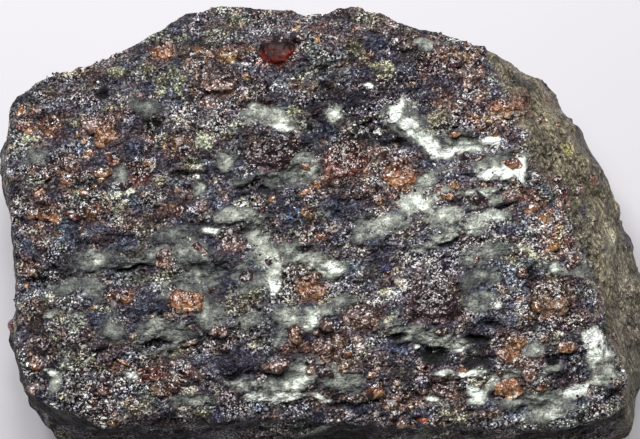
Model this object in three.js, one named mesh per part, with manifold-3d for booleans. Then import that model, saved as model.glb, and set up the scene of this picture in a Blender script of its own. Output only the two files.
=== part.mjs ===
// Garnet in kimberlite: a hand specimen of kimberlite, the dark volcanic rock that carries
// garnets up from the mantle. It lies on its flat underside with one broad broken face up.
// The rock is one solid, and each of its larger garnet grains is a solid of its own, seated
// in a pocket of the rock. Millimetres, +X to the right of the face, +Y to its back, +Z up.

import * as THREE from 'three';
import { mergeVertices } from 'three/addons/utils/BufferGeometryUtils.js';
import { ImprovedNoise } from 'three/addons/math/ImprovedNoise.js';
import Module from 'manifold-3d';

// ---- Driving dimensions -------------------------------------------------------------------

const FACE_RISE = 26.5;        // middle of the broad face above the resting plane
const EDGE_DROP = 2.4;         // the face falls this far from its middle to its rim
const FACE_TILT = [0.012, -0.018];  // rise of the face per millimetre of X and of Y
const BELLY_LEVEL = 0.42;      // the widest section, as a share of the wall's height
const GRID = [32, 30, 8];      // facets of the rock along X, Y and Z
const GRID_WARP = 0.022;       // the facets' corners wander by this share of the rock's half size

const STRIKE = 0.09;           // the foliation climbs this much per millimetre of X
const DIP = 0.35;              // and leans this much per millimetre of Z
const LEDGE_PITCH = 5.2;       // spacing of the foliation's ledges across the face
const LEDGE_HEIGHT = 1.3;      // step at the front edge of a strong ledge
const LUMP_SIZE = 11;          // lumps of the broken walls
const LUMP_HEIGHT = 1.5;

const BASE_FLAT = 0.5;         // share of the underside, from its middle, that has no scars
const BASE_HOLLOW = 1.3;       // deepest of the shallow scars in the rest of it
const BASE_TRIM = 0.8;         // the underside is worn flat by this much

const GRAIN_GAP = 0.3;         // clearance between a garnet and its pocket
const GRAIN_PROUD = 0.45;      // a broken garnet stands this far out of the softer rock
const GRAIN_SINK = 0.3;        // its middle lies below the surface, as a share of its size
const MIDDLE_GRAIN = 3.6;      // grains at least this long have more facets than the small ones
const LARGE_GRAIN = 4.5;       // and these have the most

// Corners of the rock's outline at three levels, anticlockwise from the right.
const RIM = [
  [27.3, -2], [24.8, 7], [22.5, 13.5], [18.3, 19.3], [14.3, 22.4], [10.2, 23.3], [5.6, 25.2],
  [-2, 25.5], [-9.1, 25.9], [-15.4, 25.7], [-22, 21.5], [-27, 18.9], [-31.2, 18.1], [-35.3, 14.9],
  [-34.8, 5], [-33.8, -5.1], [-33.3, -14.3], [-31.3, -19.5], [-24, -22.5], [-8.5, -21.6],
  [10, -22.6], [26, -22.6], [31.3, -21.6], [32.8, -18], [29.6, -11],
];
const BELLY = [
  [38.6, -4.5], [36.4, 2], [33.6, 8], [32.2, 13.8], [29.2, 17.7], [26.1, 21], [22.6, 24.2],
  [18.7, 25.3], [13, 26.2], [4, 27.4], [-8.1, 27.1], [-17.4, 26.7], [-26.3, 21.3], [-35, 17.5],
  [-38.3, 10.8], [-35.8, 3], [-35.7, -7.2], [-35.2, -15.8], [-30.2, -23], [-21, -26.5],
  [-6, -25.6], [12, -27], [27, -26], [36.8, -22.2], [38.6, -12],
];
const FOOT = [
  [33, -4], [30, 7], [25, 15.5], [14, 20.5], [-3, 22], [-17, 20.5], [-29, 14], [-33, 5],
  [-31, -12], [-25, -20], [-7, -21.5], [14, -22.5], [30, -17.5],
];

// Named forms of the broad face: [x, y, half length, half width, height], pits negative.
const FACE_FORMS = {
  backRidge: [3, 21, 12, 3.2, 1.2],
  serpentineRidge: [12.5, 10.5, 6, 2.2, 1.5],
  serpentineBar: [18.5, 5.6, 5.5, 1.5, 1.3],
  darkHollow: [8.7, 9.3, 4.2, 1.7, -2.8],
  hollowRight: [16.5, 8.2, 3.6, 1.1, -1.5],
  slitMiddle: [-7.5, -1.5, 2.4, 1.1, -1.9],
  slitLeft: [-20.5, -5.8, 4.2, 1.2, -1.7],
  slitLow: [-15, -6.9, 3.4, 0.9, -1.3],
  scarLeft: [-27.5, 8.5, 3.4, 2.2, -1.2],
  lensShadow: [-6, 4.2, 8.5, 1.1, -1.4],
  pocketRight: [13.5, -14.3, 4.2, 1.3, -1.8],
  pocketLow: [-15, -14.2, 5, 1.3, -1.5],
  frontStep: [5, -19.5, 16, 2.4, -1.1],
  leftSwell: [-24, -11, 8, 5, 0.9],
  middleSwell: [7, -1, 10, 4, 1.0],
  rightSwell: [24, -16, 5, 4, 0.9],
};

// Scars and bosses of the walls: [bearing in degrees from +X, level, half width in degrees,
// half height as a share of the wall, height], scars negative.
const WALL_FORMS = {
  rightScar: [-14, 0.72, 9, 0.16, -1.6],
  rightBoss: [14, 0.6, 8, 0.2, 1.2],
  cornerBoss: [34, 0.5, 3.5, 0.2, 0.8],
  backScar: [72, 0.62, 12, 0.22, -2.2],
  backBoss: [101, 0.35, 9, 0.2, 1.5],
  backLeftScar: [133, 0.5, 8, 0.25, -2],
  leftScar: [172, 0.3, 8, 0.16, -1.8],
  leftBoss: [197, 0.62, 6, 0.14, 0.9],
  frontLeftScar: [226, 0.7, 8, 0.2, -1.8],
  frontBoss: [254, 0.45, 8, 0.18, 1.2],
  frontScar: [279, 0.6, 12, 0.22, -2.1],
  frontRightBoss: [305, 0.4, 8, 0.2, 1.2],
  frontRightScar: [322, 0.75, 7, 0.15, -1.5],
};

// Garnets of the broad face: [x, y, length, width, turn in degrees], from the back to the
// front, the larger ones nearly all cracked and broken off level with the rock.
const FACE_GARNETS = [
  [-18, 20.2, 2.9, 2.4, 10], [-10.4, 19.6, 3.4, 2.2, 0], [-4.7, 19.4, 4.9, 3.6, -8],
  [12.4, 17.9, 2.6, 2.2, 0], [16.7, 17, 3.6, 2.8, -20], [-11.4, 15.7, 4, 2.8, 5],
  [20.4, 12.6, 2.6, 2.2, 0], [-30.6, 11.4, 3.6, 2.8, -15], [-24.1, 10.5, 3.4, 4.1, 0],
  [-15.4, 8.8, 2.5, 2.2, 0], [-5.4, 7.4, 6.6, 4, 6], [2.9, 6.7, 5.6, 5.4, 0],
  [8.9, 4.9, 4.7, 4.4, 0], [21.2, 6.2, 2.8, 2.2, 8], [-28.2, 4.8, 2.3, 2.9, 0],
  [-19.9, 5, 2.2, 2.8, 0], [-30, 0.9, 2.9, 2, 0], [-25, 0.9, 2.5, 2.1, 0],
  [-9.8, -2.9, 3.3, 2.7, 0], [-17, -4.2, 2.4, 2.4, 0], [-0.9, -7.7, 3.7, 3.6, 0],
  [-21.6, -8.6, 3.2, 2, 0], [-14.2, -9.5, 4.5, 2.4, -6], [4.6, -11, 4.6, 2.4, 4],
  [12.4, -9.7, 6.6, 4.2, 0], [25.4, -8.7, 4.9, 4.5, 0], [0.9, -14.3, 4, 3.6, 0],
  [21.4, -13.6, 2.6, 2.3, 0], [-18.1, -16.8, 3.9, 2, 0], [20.5, -18.2, 3.7, 3.2, 0],
  [-30.5, -13.8, 2.6, 2.2, 0], [13.6, -18.8, 3.5, 2.1, 6],
];

// Garnets of the walls: [bearing in degrees from +X, height, length, width, turn].
const WALL_GARNETS = [
  [-20, 18, 3.2, 2.8, 0], [12, 17, 2.8, 2.3, 0], [62, 16, 3.6, 2.8, 0], [98, 13, 4.4, 3.2, 10],
  [131, 17, 3, 2.5, 0], [158, 15, 3.5, 2.8, -10], [196, 15, 2.9, 2.4, 0],
  [243, 12, 3.4, 2.7, 0], [290, 13, 4, 3, 8],
];

// ---- The rock -----------------------------------------------------------------------------

const noise = new ImprovedNoise();
const smooth = THREE.MathUtils.smoothstep;

// Distance from the axis to a closed outline of corner points, along one bearing.
function radiusAt(outline, bearing) {
  const dx = Math.cos(bearing);
  const dy = Math.sin(bearing);
  for (let i = 0; i < outline.length; i++) {
    const [ax, ay] = outline[i];
    const [bx, by] = outline[(i + 1) % outline.length];
    const sideA = dx * ay - dy * ax;
    const sideB = dx * by - dy * bx;
    if (sideA <= 0 && sideB > 0) {
      const share = sideA / (sideA - sideB);
      return dx * (ax + (bx - ax) * share) + dy * (ay + (by - ay) * share);
    }
  }
  throw new Error('the outline does not go round the axis');
}

// A ledge climbs slowly to its front edge and then drops, and fades out along its length.
function ledges(x, y, z) {
  const layer = (y - STRIKE * x + DIP * z) / LEDGE_PITCH;
  const wander = noise.noise(x / 15, y / 21, 3.1) * 0.9;
  const phase = layer + wander - Math.floor(layer + wander);
  const strength = smooth(noise.noise(x / 12, layer * 0.7, 8.4), -0.25, 0.5);
  return LEDGE_HEIGHT * strength * (0.5 - phase);
}

function faceHeight(x, y) {
  const edge = Math.hypot(x / 34, y / 24);
  let height = FACE_RISE + FACE_TILT[0] * x + FACE_TILT[1] * y - EDGE_DROP * Math.min(edge, 1.1) ** 4;
  height += ledges(x, y, FACE_RISE) + noise.noise(x / 6, y / 3.4, 12.7) * 0.8;
  for (const [formX, formY, halfLength, halfWidth, formHeight] of Object.values(FACE_FORMS)) {
    const across = y - formY - STRIKE * (x - formX);
    const reach = ((x - formX) / halfLength) ** 2 + (across / halfWidth) ** 2;
    height += formHeight * Math.exp(-reach);
  }
  return height;
}

function wallRadius(bearing, level) {
  const belly = radiusAt(BELLY, bearing);
  if (level > BELLY_LEVEL) {
    const share = (level - BELLY_LEVEL) / (1 - BELLY_LEVEL);
    return THREE.MathUtils.lerp(belly, radiusAt(RIM, bearing), share ** 1.5);
  }
  const share = 1 - level / BELLY_LEVEL;
  return THREE.MathUtils.lerp(belly, radiusAt(FOOT, bearing), share ** 1.8);
}

// Broken walls: broad lumps and chips, the foliation's ledges, and the named scars and bosses.
function wallRelief(x, y, z, bearing, level) {
  const lump = noise.noise(x / LUMP_SIZE, y / LUMP_SIZE, z / 7 + 5.3);
  const chip = noise.noise(x / 4.3, y / 4.3, z / 4.3 + 1.9);
  let relief = LUMP_HEIGHT * lump + 0.8 * chip + 0.8 * ledges(x, y, z) - 0.3;
  for (const [formBearing, formLevel, halfWidth, halfHeight, formHeight] of Object.values(WALL_FORMS)) {
    const behind = THREE.MathUtils.radToDeg(bearing) - formBearing + 180;
    const turn = THREE.MathUtils.euclideanModulo(behind, 360) - 180;
    const reach = (turn / halfWidth) ** 2 + ((level - formLevel) / halfHeight) ** 2;
    relief += formHeight * Math.exp(-reach);
  }
  return relief;
}

// The underside before it is worn flat: level in the middle, with shallow scars round it.
function baseHeight(x, y, share) {
  const scar = smooth(noise.noise(x / 9, y / 9, 20.6), -0.05, 0.4);
  return (BASE_TRIM + BASE_HOLLOW) * scar * smooth(share, BASE_FLAT, 0.85) - BASE_TRIM;
}

// One point of the rock's surface from the matching point of a cube from -1 to 1.
function rockPoint(cube) {
  const inside = 1 - Math.max(Math.abs(cube.x), Math.abs(cube.y)) ** 6;
  const warpedX = cube.x + GRID_WARP * inside * noise.noise(cube.x * 9, cube.y * 9, 2.2) * 2;
  const warpedY = cube.y + GRID_WARP * inside * noise.noise(cube.x * 9, cube.y * 9, 7.7) * 2;
  const bearing = Math.atan2(warpedY * 24, warpedX * 34);
  const share = Math.max(Math.abs(warpedX), Math.abs(warpedY));
  const level = (cube.z + 1) / 2;
  const radius = wallRadius(bearing, level) * share;
  const x = Math.cos(bearing) * radius;
  const y = Math.sin(bearing) * radius;
  const lift = faceHeight(x, y);
  const foot = baseHeight(x, y, share);
  const z = foot + (lift - foot) * level;
  const wallShare = smooth(share, 0.75, 1) * (1 - 0.6 * smooth(level, 0.7, 1));
  const relief = wallRelief(x, y, z, bearing, level) * wallShare;
  return new THREE.Vector3(x + Math.cos(bearing) * relief, y + Math.sin(bearing) * relief, z);
}

function bareMesh(geometry) {
  geometry.deleteAttribute('normal');
  geometry.deleteAttribute('uv');
  return mergeVertices(geometry, 1e-5);
}

function makeRock() {
  const geometry = bareMesh(new THREE.BoxGeometry(2, 2, 2, ...GRID));
  const position = geometry.attributes.position;
  const corner = new THREE.Vector3();
  for (let i = 0; i < position.count; i++) {
    const point = rockPoint(corner.fromBufferAttribute(position, i));
    position.setXYZ(i, point.x, point.y, point.z);
  }
  return geometry;
}

// ---- The garnets --------------------------------------------------------------------------

const UP = new THREE.Vector3(0, 0, 1);

function roughGrain(length) {
  if (length >= LARGE_GRAIN) return new THREE.IcosahedronGeometry(1, 1);
  if (length >= MIDDLE_GRAIN) return new THREE.DodecahedronGeometry(1, 0);
  return new THREE.IcosahedronGeometry(1, 0);
}

// A rounded grain, cracked to uneven facets, grown on all sides by the pocket's clearance.
function grainGeometry([length, width, turn], seat, seed, grow) {
  const geometry = bareMesh(roughGrain(length));
  const position = geometry.attributes.position;
  const thick = (length + width) / 2;
  const lie = new THREE.Quaternion().setFromUnitVectors(UP, seat.out);
  const spin = new THREE.Quaternion().setFromAxisAngle(UP, THREE.MathUtils.degToRad(turn));
  const top = grow > 0 ? Infinity : GRAIN_PROUD;
  const point = new THREE.Vector3();
  for (let i = 0; i < position.count; i++) {
    point.fromBufferAttribute(position, i).normalize().applyAxisAngle(UP, seed * 1.9);
    const crack = 1 + 0.16 * noise.noise(point.x * 1.7 + seed * 5.1, point.y * 1.7, point.z * 1.7);
    point.multiplyScalar(crack);
    point.set(point.x * (length / 2 + grow), point.y * (width / 2 + grow), point.z * (thick / 2 + grow));
    point.z = Math.min(point.z - GRAIN_SINK * thick, top + 0.12 * point.x);
    point.applyQuaternion(spin).applyQuaternion(lie).add(seat.at);
    position.setXYZ(i, point.x, point.y, point.z);
  }
  return geometry;
}

// Where a ray meets the rock, and which way the surface faces there on the whole.
function seatAt(rock, from, towards) {
  const caster = new THREE.Raycaster(from, towards);
  const hit = caster.intersectObject(rock)[0];
  const out = hit.face.normal.clone().lerp(towards.clone().negate(), 0.6).normalize();
  return { at: hit.point, out };
}

function faceSeat(rock, [x, y, ...grain]) {
  const seat = seatAt(rock, new THREE.Vector3(x, y, 60), new THREE.Vector3(0, 0, -1));
  return { grain, seat };
}

function wallSeat(rock, [bearing, height, ...grain]) {
  const angle = THREE.MathUtils.degToRad(bearing);
  const outward = new THREE.Vector3(Math.cos(angle), Math.sin(angle), 0);
  const from = outward.clone().multiplyScalar(60).setZ(height);
  return { grain, seat: seatAt(rock, from, outward.negate()) };
}

// ---- Cutting the pockets and naming the pieces --------------------------------------------

const wasm = await Module();
wasm.setup();

function toSolid(geometry) {
  const vertProperties = new Float32Array(geometry.attributes.position.array);
  const triVerts = new Uint32Array(geometry.index.array);
  return new wasm.Manifold(new wasm.Mesh({ numProp: 3, vertProperties, triVerts }));
}

function toGeometry(solid) {
  const mesh = solid.getMesh();
  const geometry = new THREE.BufferGeometry();
  geometry.setAttribute('position', new THREE.BufferAttribute(mesh.vertProperties, 3));
  geometry.setIndex(new THREE.BufferAttribute(mesh.triVerts, 1));
  return geometry;
}

const rock = new THREE.Mesh(makeRock());
const restingPlane = new THREE.BoxGeometry(120, 120, 10).translate(0, 0, -5);
const grains = [
  ...FACE_GARNETS.map((row) => faceSeat(rock, row)),
  ...WALL_GARNETS.map((row) => wallSeat(rock, row)),
];

let matrixSolid = toSolid(rock.geometry).subtract(toSolid(bareMesh(restingPlane)));
grains.forEach(({ grain, seat }, index) => {
  matrixSolid = matrixSolid.subtract(toSolid(grainGeometry(grain, seat, index, GRAIN_GAP)));
});

const kimberlite = new THREE.MeshStandardMaterial({ color: 0x47464c, roughness: 0.8, metalness: 0 });
const garnet = new THREE.MeshStandardMaterial({ color: 0x8a2f14, roughness: 0.25, metalness: 0 });

const specimen = new THREE.Group();
const matrix = new THREE.Mesh(toGeometry(matrixSolid), kimberlite);
matrix.name = 'kimberlite_matrix';
specimen.add(matrix);

grains.forEach(({ grain, seat }, index) => {
  const crystal = new THREE.Mesh(grainGeometry(grain, seat, index, 0), garnet.clone());
  crystal.name = `garnet_${String(index + 1).padStart(2, '0')}`;
  specimen.add(crystal);
});

// The origin is the middle of the specimen's box, on the resting plane.
const box = new THREE.Box3().setFromObject(specimen);
const middle = box.getCenter(new THREE.Vector3());
for (const piece of specimen.children) {
  piece.position.set(-middle.x, -middle.y, -box.min.z);
}

export default specimen;
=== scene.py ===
# A hand specimen of kimberlite with its garnets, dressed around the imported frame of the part.
# Metres, in the part's own frame: the stone lies on its base with the broad broken face up.

import math

import bpy
import numpy as np
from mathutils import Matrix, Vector
from mathutils.bvhtree import BVHTree


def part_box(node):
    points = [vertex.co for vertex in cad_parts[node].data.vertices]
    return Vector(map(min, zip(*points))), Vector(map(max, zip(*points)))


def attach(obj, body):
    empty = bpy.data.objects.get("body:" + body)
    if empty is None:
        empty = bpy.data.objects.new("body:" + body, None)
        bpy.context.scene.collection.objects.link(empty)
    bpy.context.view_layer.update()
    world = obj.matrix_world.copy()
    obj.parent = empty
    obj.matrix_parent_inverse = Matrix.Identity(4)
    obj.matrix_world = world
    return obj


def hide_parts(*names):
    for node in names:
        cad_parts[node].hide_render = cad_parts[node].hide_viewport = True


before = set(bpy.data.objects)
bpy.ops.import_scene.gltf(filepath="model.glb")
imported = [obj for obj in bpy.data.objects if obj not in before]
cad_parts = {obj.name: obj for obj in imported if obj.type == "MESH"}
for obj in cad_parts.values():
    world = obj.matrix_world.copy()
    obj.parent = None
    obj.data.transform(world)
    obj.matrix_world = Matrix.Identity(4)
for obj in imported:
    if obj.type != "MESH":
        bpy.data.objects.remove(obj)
bpy.ops.object.select_all(action="DESELECT")
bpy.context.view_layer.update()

# ---- Camera -------------------------------------------------------------------------------
# A long lens looks down on the broad face, a little from the front, so that the dark front
# wall shows below the face and the stone nearly fills the picture.

VIEW_RISE = math.radians(77)
VIEW_TARGET = Vector((-0.0004, -0.0003, 0.026))
VIEW_WIDTH = 0.0704
LENS = 100
SENSOR = 36

camera_data = bpy.data.cameras.new("camera")
camera_data.lens = LENS
camera_data.sensor_width = SENSOR
camera_data.clip_end = 10
camera = bpy.data.objects.new("camera", camera_data)
bpy.context.scene.collection.objects.link(camera)
view_back = Vector((0, -math.cos(VIEW_RISE), math.sin(VIEW_RISE)))
camera.location = VIEW_TARGET + view_back * (VIEW_WIDTH * LENS / SENSOR)
camera.rotation_euler = (-view_back).to_track_quat("-Z", "Y").to_euler()
bpy.context.scene.camera = camera

# ---- Kimberlite matrix --------------------------------------------------------------------
# The rock itself: a dark, hard groundmass of serpentine, mica and carbonate, set from magma and
# broken by hammer along its foliation. Olivine grains in it have turned to pale serpentine.

MM = 0.001
REMESH_GRAIN = 0.71 * MM
FACE_CUTS = 2
PLUG_SINK = 1.0 * MM
PLUG_SWELL = 0.45 * MM
WALL_TOP = 23 * MM
FACE_FROM = 19 * MM
FACE_LEVEL = 25.7 * MM
FACE_ORIGIN = (-0.42 * MM, -0.27 * MM)
SEAM_LEAN = 0.23
STRIKE = 0.09
LEDGE_STEP = 2.9 * MM
LEDGE_FRONT = 0.15
STAIN_REACH = 1.3 * MM
SECTOR = 2
SECTORS = 180

GROUND, IRON_STAIN, RIND_SKIN = "#3b353f", "#4a3430", "#605a4b"
TALC, CHLORITE, IRON_ORE, RUST = "#4c4645", "#243044", "#180f18", "#74503e"
BROWN_MICA, PALE_MICA, OLIVE_SERPENTINE = "#5e4a42", "#66646e", "#5f5a44"
# How far each of these minerals smooths the groundmass out.
CALM = {TALC: 0.85, CHLORITE: 1, RUST: 0.6}
# Wide clouds of other colours in the groundmass: colour, size in millimetres, seed.
CLOUDS = [("#54423c", 4, 41), ("#243048", 3.4, 42), ("#535648", 2.6, 43), ("#625755", 1.8, 44)]
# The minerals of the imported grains, and how many of the grains each one colours.
HUE_STEP, HUE_SHARE = 0.14, 0.12
GRAIN_HUES = ("#50566a", "#504a5a", "#40282a", "#625c46", "#5e4634", "#221a24", "#3c465a")

# Patches of serpentine on the face, in millimetres: x, y, half length, half width, turn in
# degrees, paleness. Later ones lie over earlier ones, here and in the tables that follow.
SERPENTINE = [
    (17.4, -6.6, 2.2, 1, 15, 0.05), (-24.6, -4.6, 2.4, 1, 0, 0.08), (-16, -1.6, 2.2, 0.8, 0, 0.08),
    (9.6, 11.4, 2.8, 1.5, -45, 0.3), (15, 8.6, 2.6, 1.2, 10, 0.3), (20, 6.4, 3, 1.2, 5, 0.25),
    (-2, 6, 2.4, 1.8, 30, 0.3), (-4.2, 5, 2.4, 0.7, 20, 0.05), (8.4, 12.4, 1.9, 0.8, 60, 0.95),
    (10.4, 10.6, 1.4, 0.9, -40, 0.95), (11.7, 9.2, 2, 1.2, -50, 0.75), (12.6, 8.2, 1.4, 0.9, -60, 0.9),
    (16.6, 8.2, 1.6, 0.7, 10, 0.75), (19.2, 9.1, 1.4, 0.7, 10, 1), (19.6, 5.3, 3, 0.9, 4, 1),
    (22.2, 6, 0.9, 1.9, 0, 1), (13.6, 3.4, 1.8, 0.5, 25, 0.5), (17.6, 3.4, 2.4, 0.45, 10, 0.55),
    (18.6, 2.2, 2, 0.6, 8, 0.5), (-2.4, -3.6, 1.8, 1, 15, 0.4), (2.4, -9.4, 1.8, 0.8, 10, 0.35),
    (18, -3.8, 2.6, 1, 10, 0.35), (23.2, -14.6, 1.2, 0.8, 0, 0.45), (24.8, -16.6, 1.4, 0.5, 20, 0.35),
    (-1, -16.2, 2.8, 0.8, 5, 0.35), (-8.6, -18.2, 1.8, 0.8, 0, 0.4), (-5, -18.5, 2.4, 0.8, 0, 0.5),
    (-1.6, -17.4, 1.6, 0.7, 0, 0.5), (20.6, -17.2, 1.2, 0.8, 0, 0.5), (24.2, -19.9, 2.2, 0.7, 15, 0.5),
    (22.2, 4.4, 0.5, 0.7, 0, 1), (14.6, 7.8, 1.4, 0.6, 10, 0.9), (-6.9, 12.7, 1.1, 0.7, -20, 0.95),
    (-8, 11.9, 1.2, 0.9, 0, 0.4), (-4.8, 11.5, 2.2, 1.1, -25, 0.55), (-4.4, 10.5, 0.9, 0.5, 0, 0.95),
    (1.4, 12.2, 1.2, 1.1, -30, 0.7), (5.3, 15.4, 0.8, 0.5, 0, 0.95), (6.8, 10, 0.5, 0.4, 0, 0.95),
    (11.9, 20.3, 1.5, 0.6, -10, 0.5), (-10.5, 6.6, 1, 1.1, 0, 0.35), (-5.8, 5.4, 2, 0.4, 15, 0.05),
    (-8.6, 4.2, 1.2, 0.6, 0, 0.12), (-1, 6, 1.1, 0.7, 40, 0.65), (-20.7, 13, 0.6, 0.8, 0, 0.5),
    (-31.8, 7, 1.5, 0.8, 10, 0.2), (-22.1, 5, 0.8, 0.9, 0, 0.25), (-13.3, 3.2, 0.8, 0.9, 0, 0.6),
    (-9, 0.4, 2.6, 0.7, 0, 0.5), (-11.5, -1.1, 1.2, 0.5, -10, 1), (-7.2, -1.5, 1.6, 0.9, 0, 0.25),
    (-6.2, -3.4, 2.4, 1.7, -40, 0.6), (-5.2, -6, 1.4, 2.4, 0, 0.72), (-0.2, -10.4, 1.8, 0.9, 10, 0.6),
    (-7.6, -6.5, 1.4, 1.8, 0, 0.25), (-4.6, -7.4, 0.6, 1.2, -30, 0.95), (-14.3, -3.8, 1.6, 1.3, 0, 0.35),
    (-17.6, -3.6, 1.4, 0.9, 0, 0.35), (-15.3, -7.3, 1.9, 1, 25, 0.4), (-12.9, -6, 2, 2, 0, 0.25),
    (-20.3, -4.8, 1.6, 0.5, 0, 0.25), (-25.3, -3.8, 0.5, 0.5, 0, 0.4), (-24.1, -4.5, 0.6, 0.5, 0, 0.5),
    (-27.4, -7.4, 1.8, 0.8, 15, 0.1), (-24.7, -7.6, 1.2, 1.2, 0, 0.15), (-29.5, -10.6, 1.2, 0.5, 10, 0.6),
    (-22.3, -12.2, 0.9, 1.5, 20, 0.22), (-17, -11.5, 1.2, 0.8, 0, 0.95), (-18.6, -12.7, 0.6, 0.7, 0, 0.7),
    (-17, -13, 2.4, 1.7, 0, 0.3), (-29.5, -16.9, 1, 0.5, -15, 0.8), (-28.7, -18.2, 0.6, 1.1, -20, 0.5),
    (-20.6, -17.2, 1, 0.4, -25, 0.9), (-11.8, -10.6, 1.5, 1.6, 0, 0.35), (-13.6, -20, 2.2, 0.6, 0, 0.3),
    (-19.6, 12.9, 1.6, 0.8, 0, 0.08), (0.6, -5.4, 2.6, 1.1, 0, 0.8), (-0.8, -4.4, 1.6, 0.8, 0, 0.6),
    (10.1, 1.3, 0.9, 0.8, 0, 1), (12.2, 1.2, 0.7, 0.8, 0, 0.85), (10.6, 2.2, 2.8, 1.7, 0, 0.72),
    (7, -0.6, 2.4, 1.1, 20, 0.55), (4.3, -1.2, 0.8, 1.3, -20, 0.3), (17, -0.7, 2.8, 1.1, 25, 0.62),
    (19, 0.6, 2.4, 0.8, 12, 0.7), (13.4, -2, 1.8, 1, 20, 0.5), (13.6, 0.4, 2, 1, 10, 0.55),
    (12.2, 4.8, 2.2, 0.8, 40, 0.5), (11.2, -3.1, 1.3, 0.45, 10, 0.6), (26.2, -5.3, 1.1, 0.7, -20, 0.75),
    (28.4, -5.8, 1.9, 0.8, -10, 0.4), (19.1, -9.6, 0.7, 0.5, 0, 0.95), (17.5, -9, 1.6, 1, 10, 0.3),
    (-3.4, -10.8, 2, 1.1, -20, 0.45), (-0.8, -11.3, 1.2, 1, 20, 0.75), (-4.3, -12.6, 0.8, 1.3, 0, 0.35),
    (-8, -11.2, 1.6, 0.8, 0, 0.25), (9.8, -12.6, 2.8, 1, -15, 0.4), (13.6, -13.4, 2.8, 0.8, -20, 0.55),
    (10.4, -14.2, 0.7, 0.35, 0, 0.9), (15.4, -14.6, 0.5, 0.5, 0, 0.9), (0.5, -18, 0.6, 0.4, 0, 0.95),
    (2.2, -17.9, 2.4, 1.1, 0, 0.35), (-2, -18.3, 1, 0.9, 0, 0.7), (-7.3, -19.7, 1.4, 0.6, 10, 0.7),
    (-3.6, -19.8, 2.8, 0.6, 4, 0.9), (0.2, -19.8, 0.9, 0.5, 0, 0.8), (29.8, -13.2, 1.6, 1.5, -20, 0.95),
    (30.6, -15.5, 1.6, 1.7, 10, 0.85), (31.8, -16.9, 1.1, 0.8, -30, 0.5), (30.6, -18, 1.2, 1, 0, 0.6),
    (27.6, -19.6, 2.1, 0.8, 35, 0.95), (25, -21.3, 2.6, 1.1, 15, 0.4), (25.5, -22, 0.7, 0.5, 0, 0.8),
    (17.1, -19.1, 1.2, 1, 0, 0.85), (18.8, -18.3, 1.3, 0.9, 20, 0.8), (16.3, -16.9, 2, 0.45, 6, 0.85),
    (13.2, -17, 1.6, 0.4, 0, 0.8), (12.3, -20.1, 0.9, 0.35, 0, 0.8), (16.8, -20.3, 1, 0.4, 0, 0.6),
    (21.5, -20.5, 2.2, 0.6, 0, 0.3),
]
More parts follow.
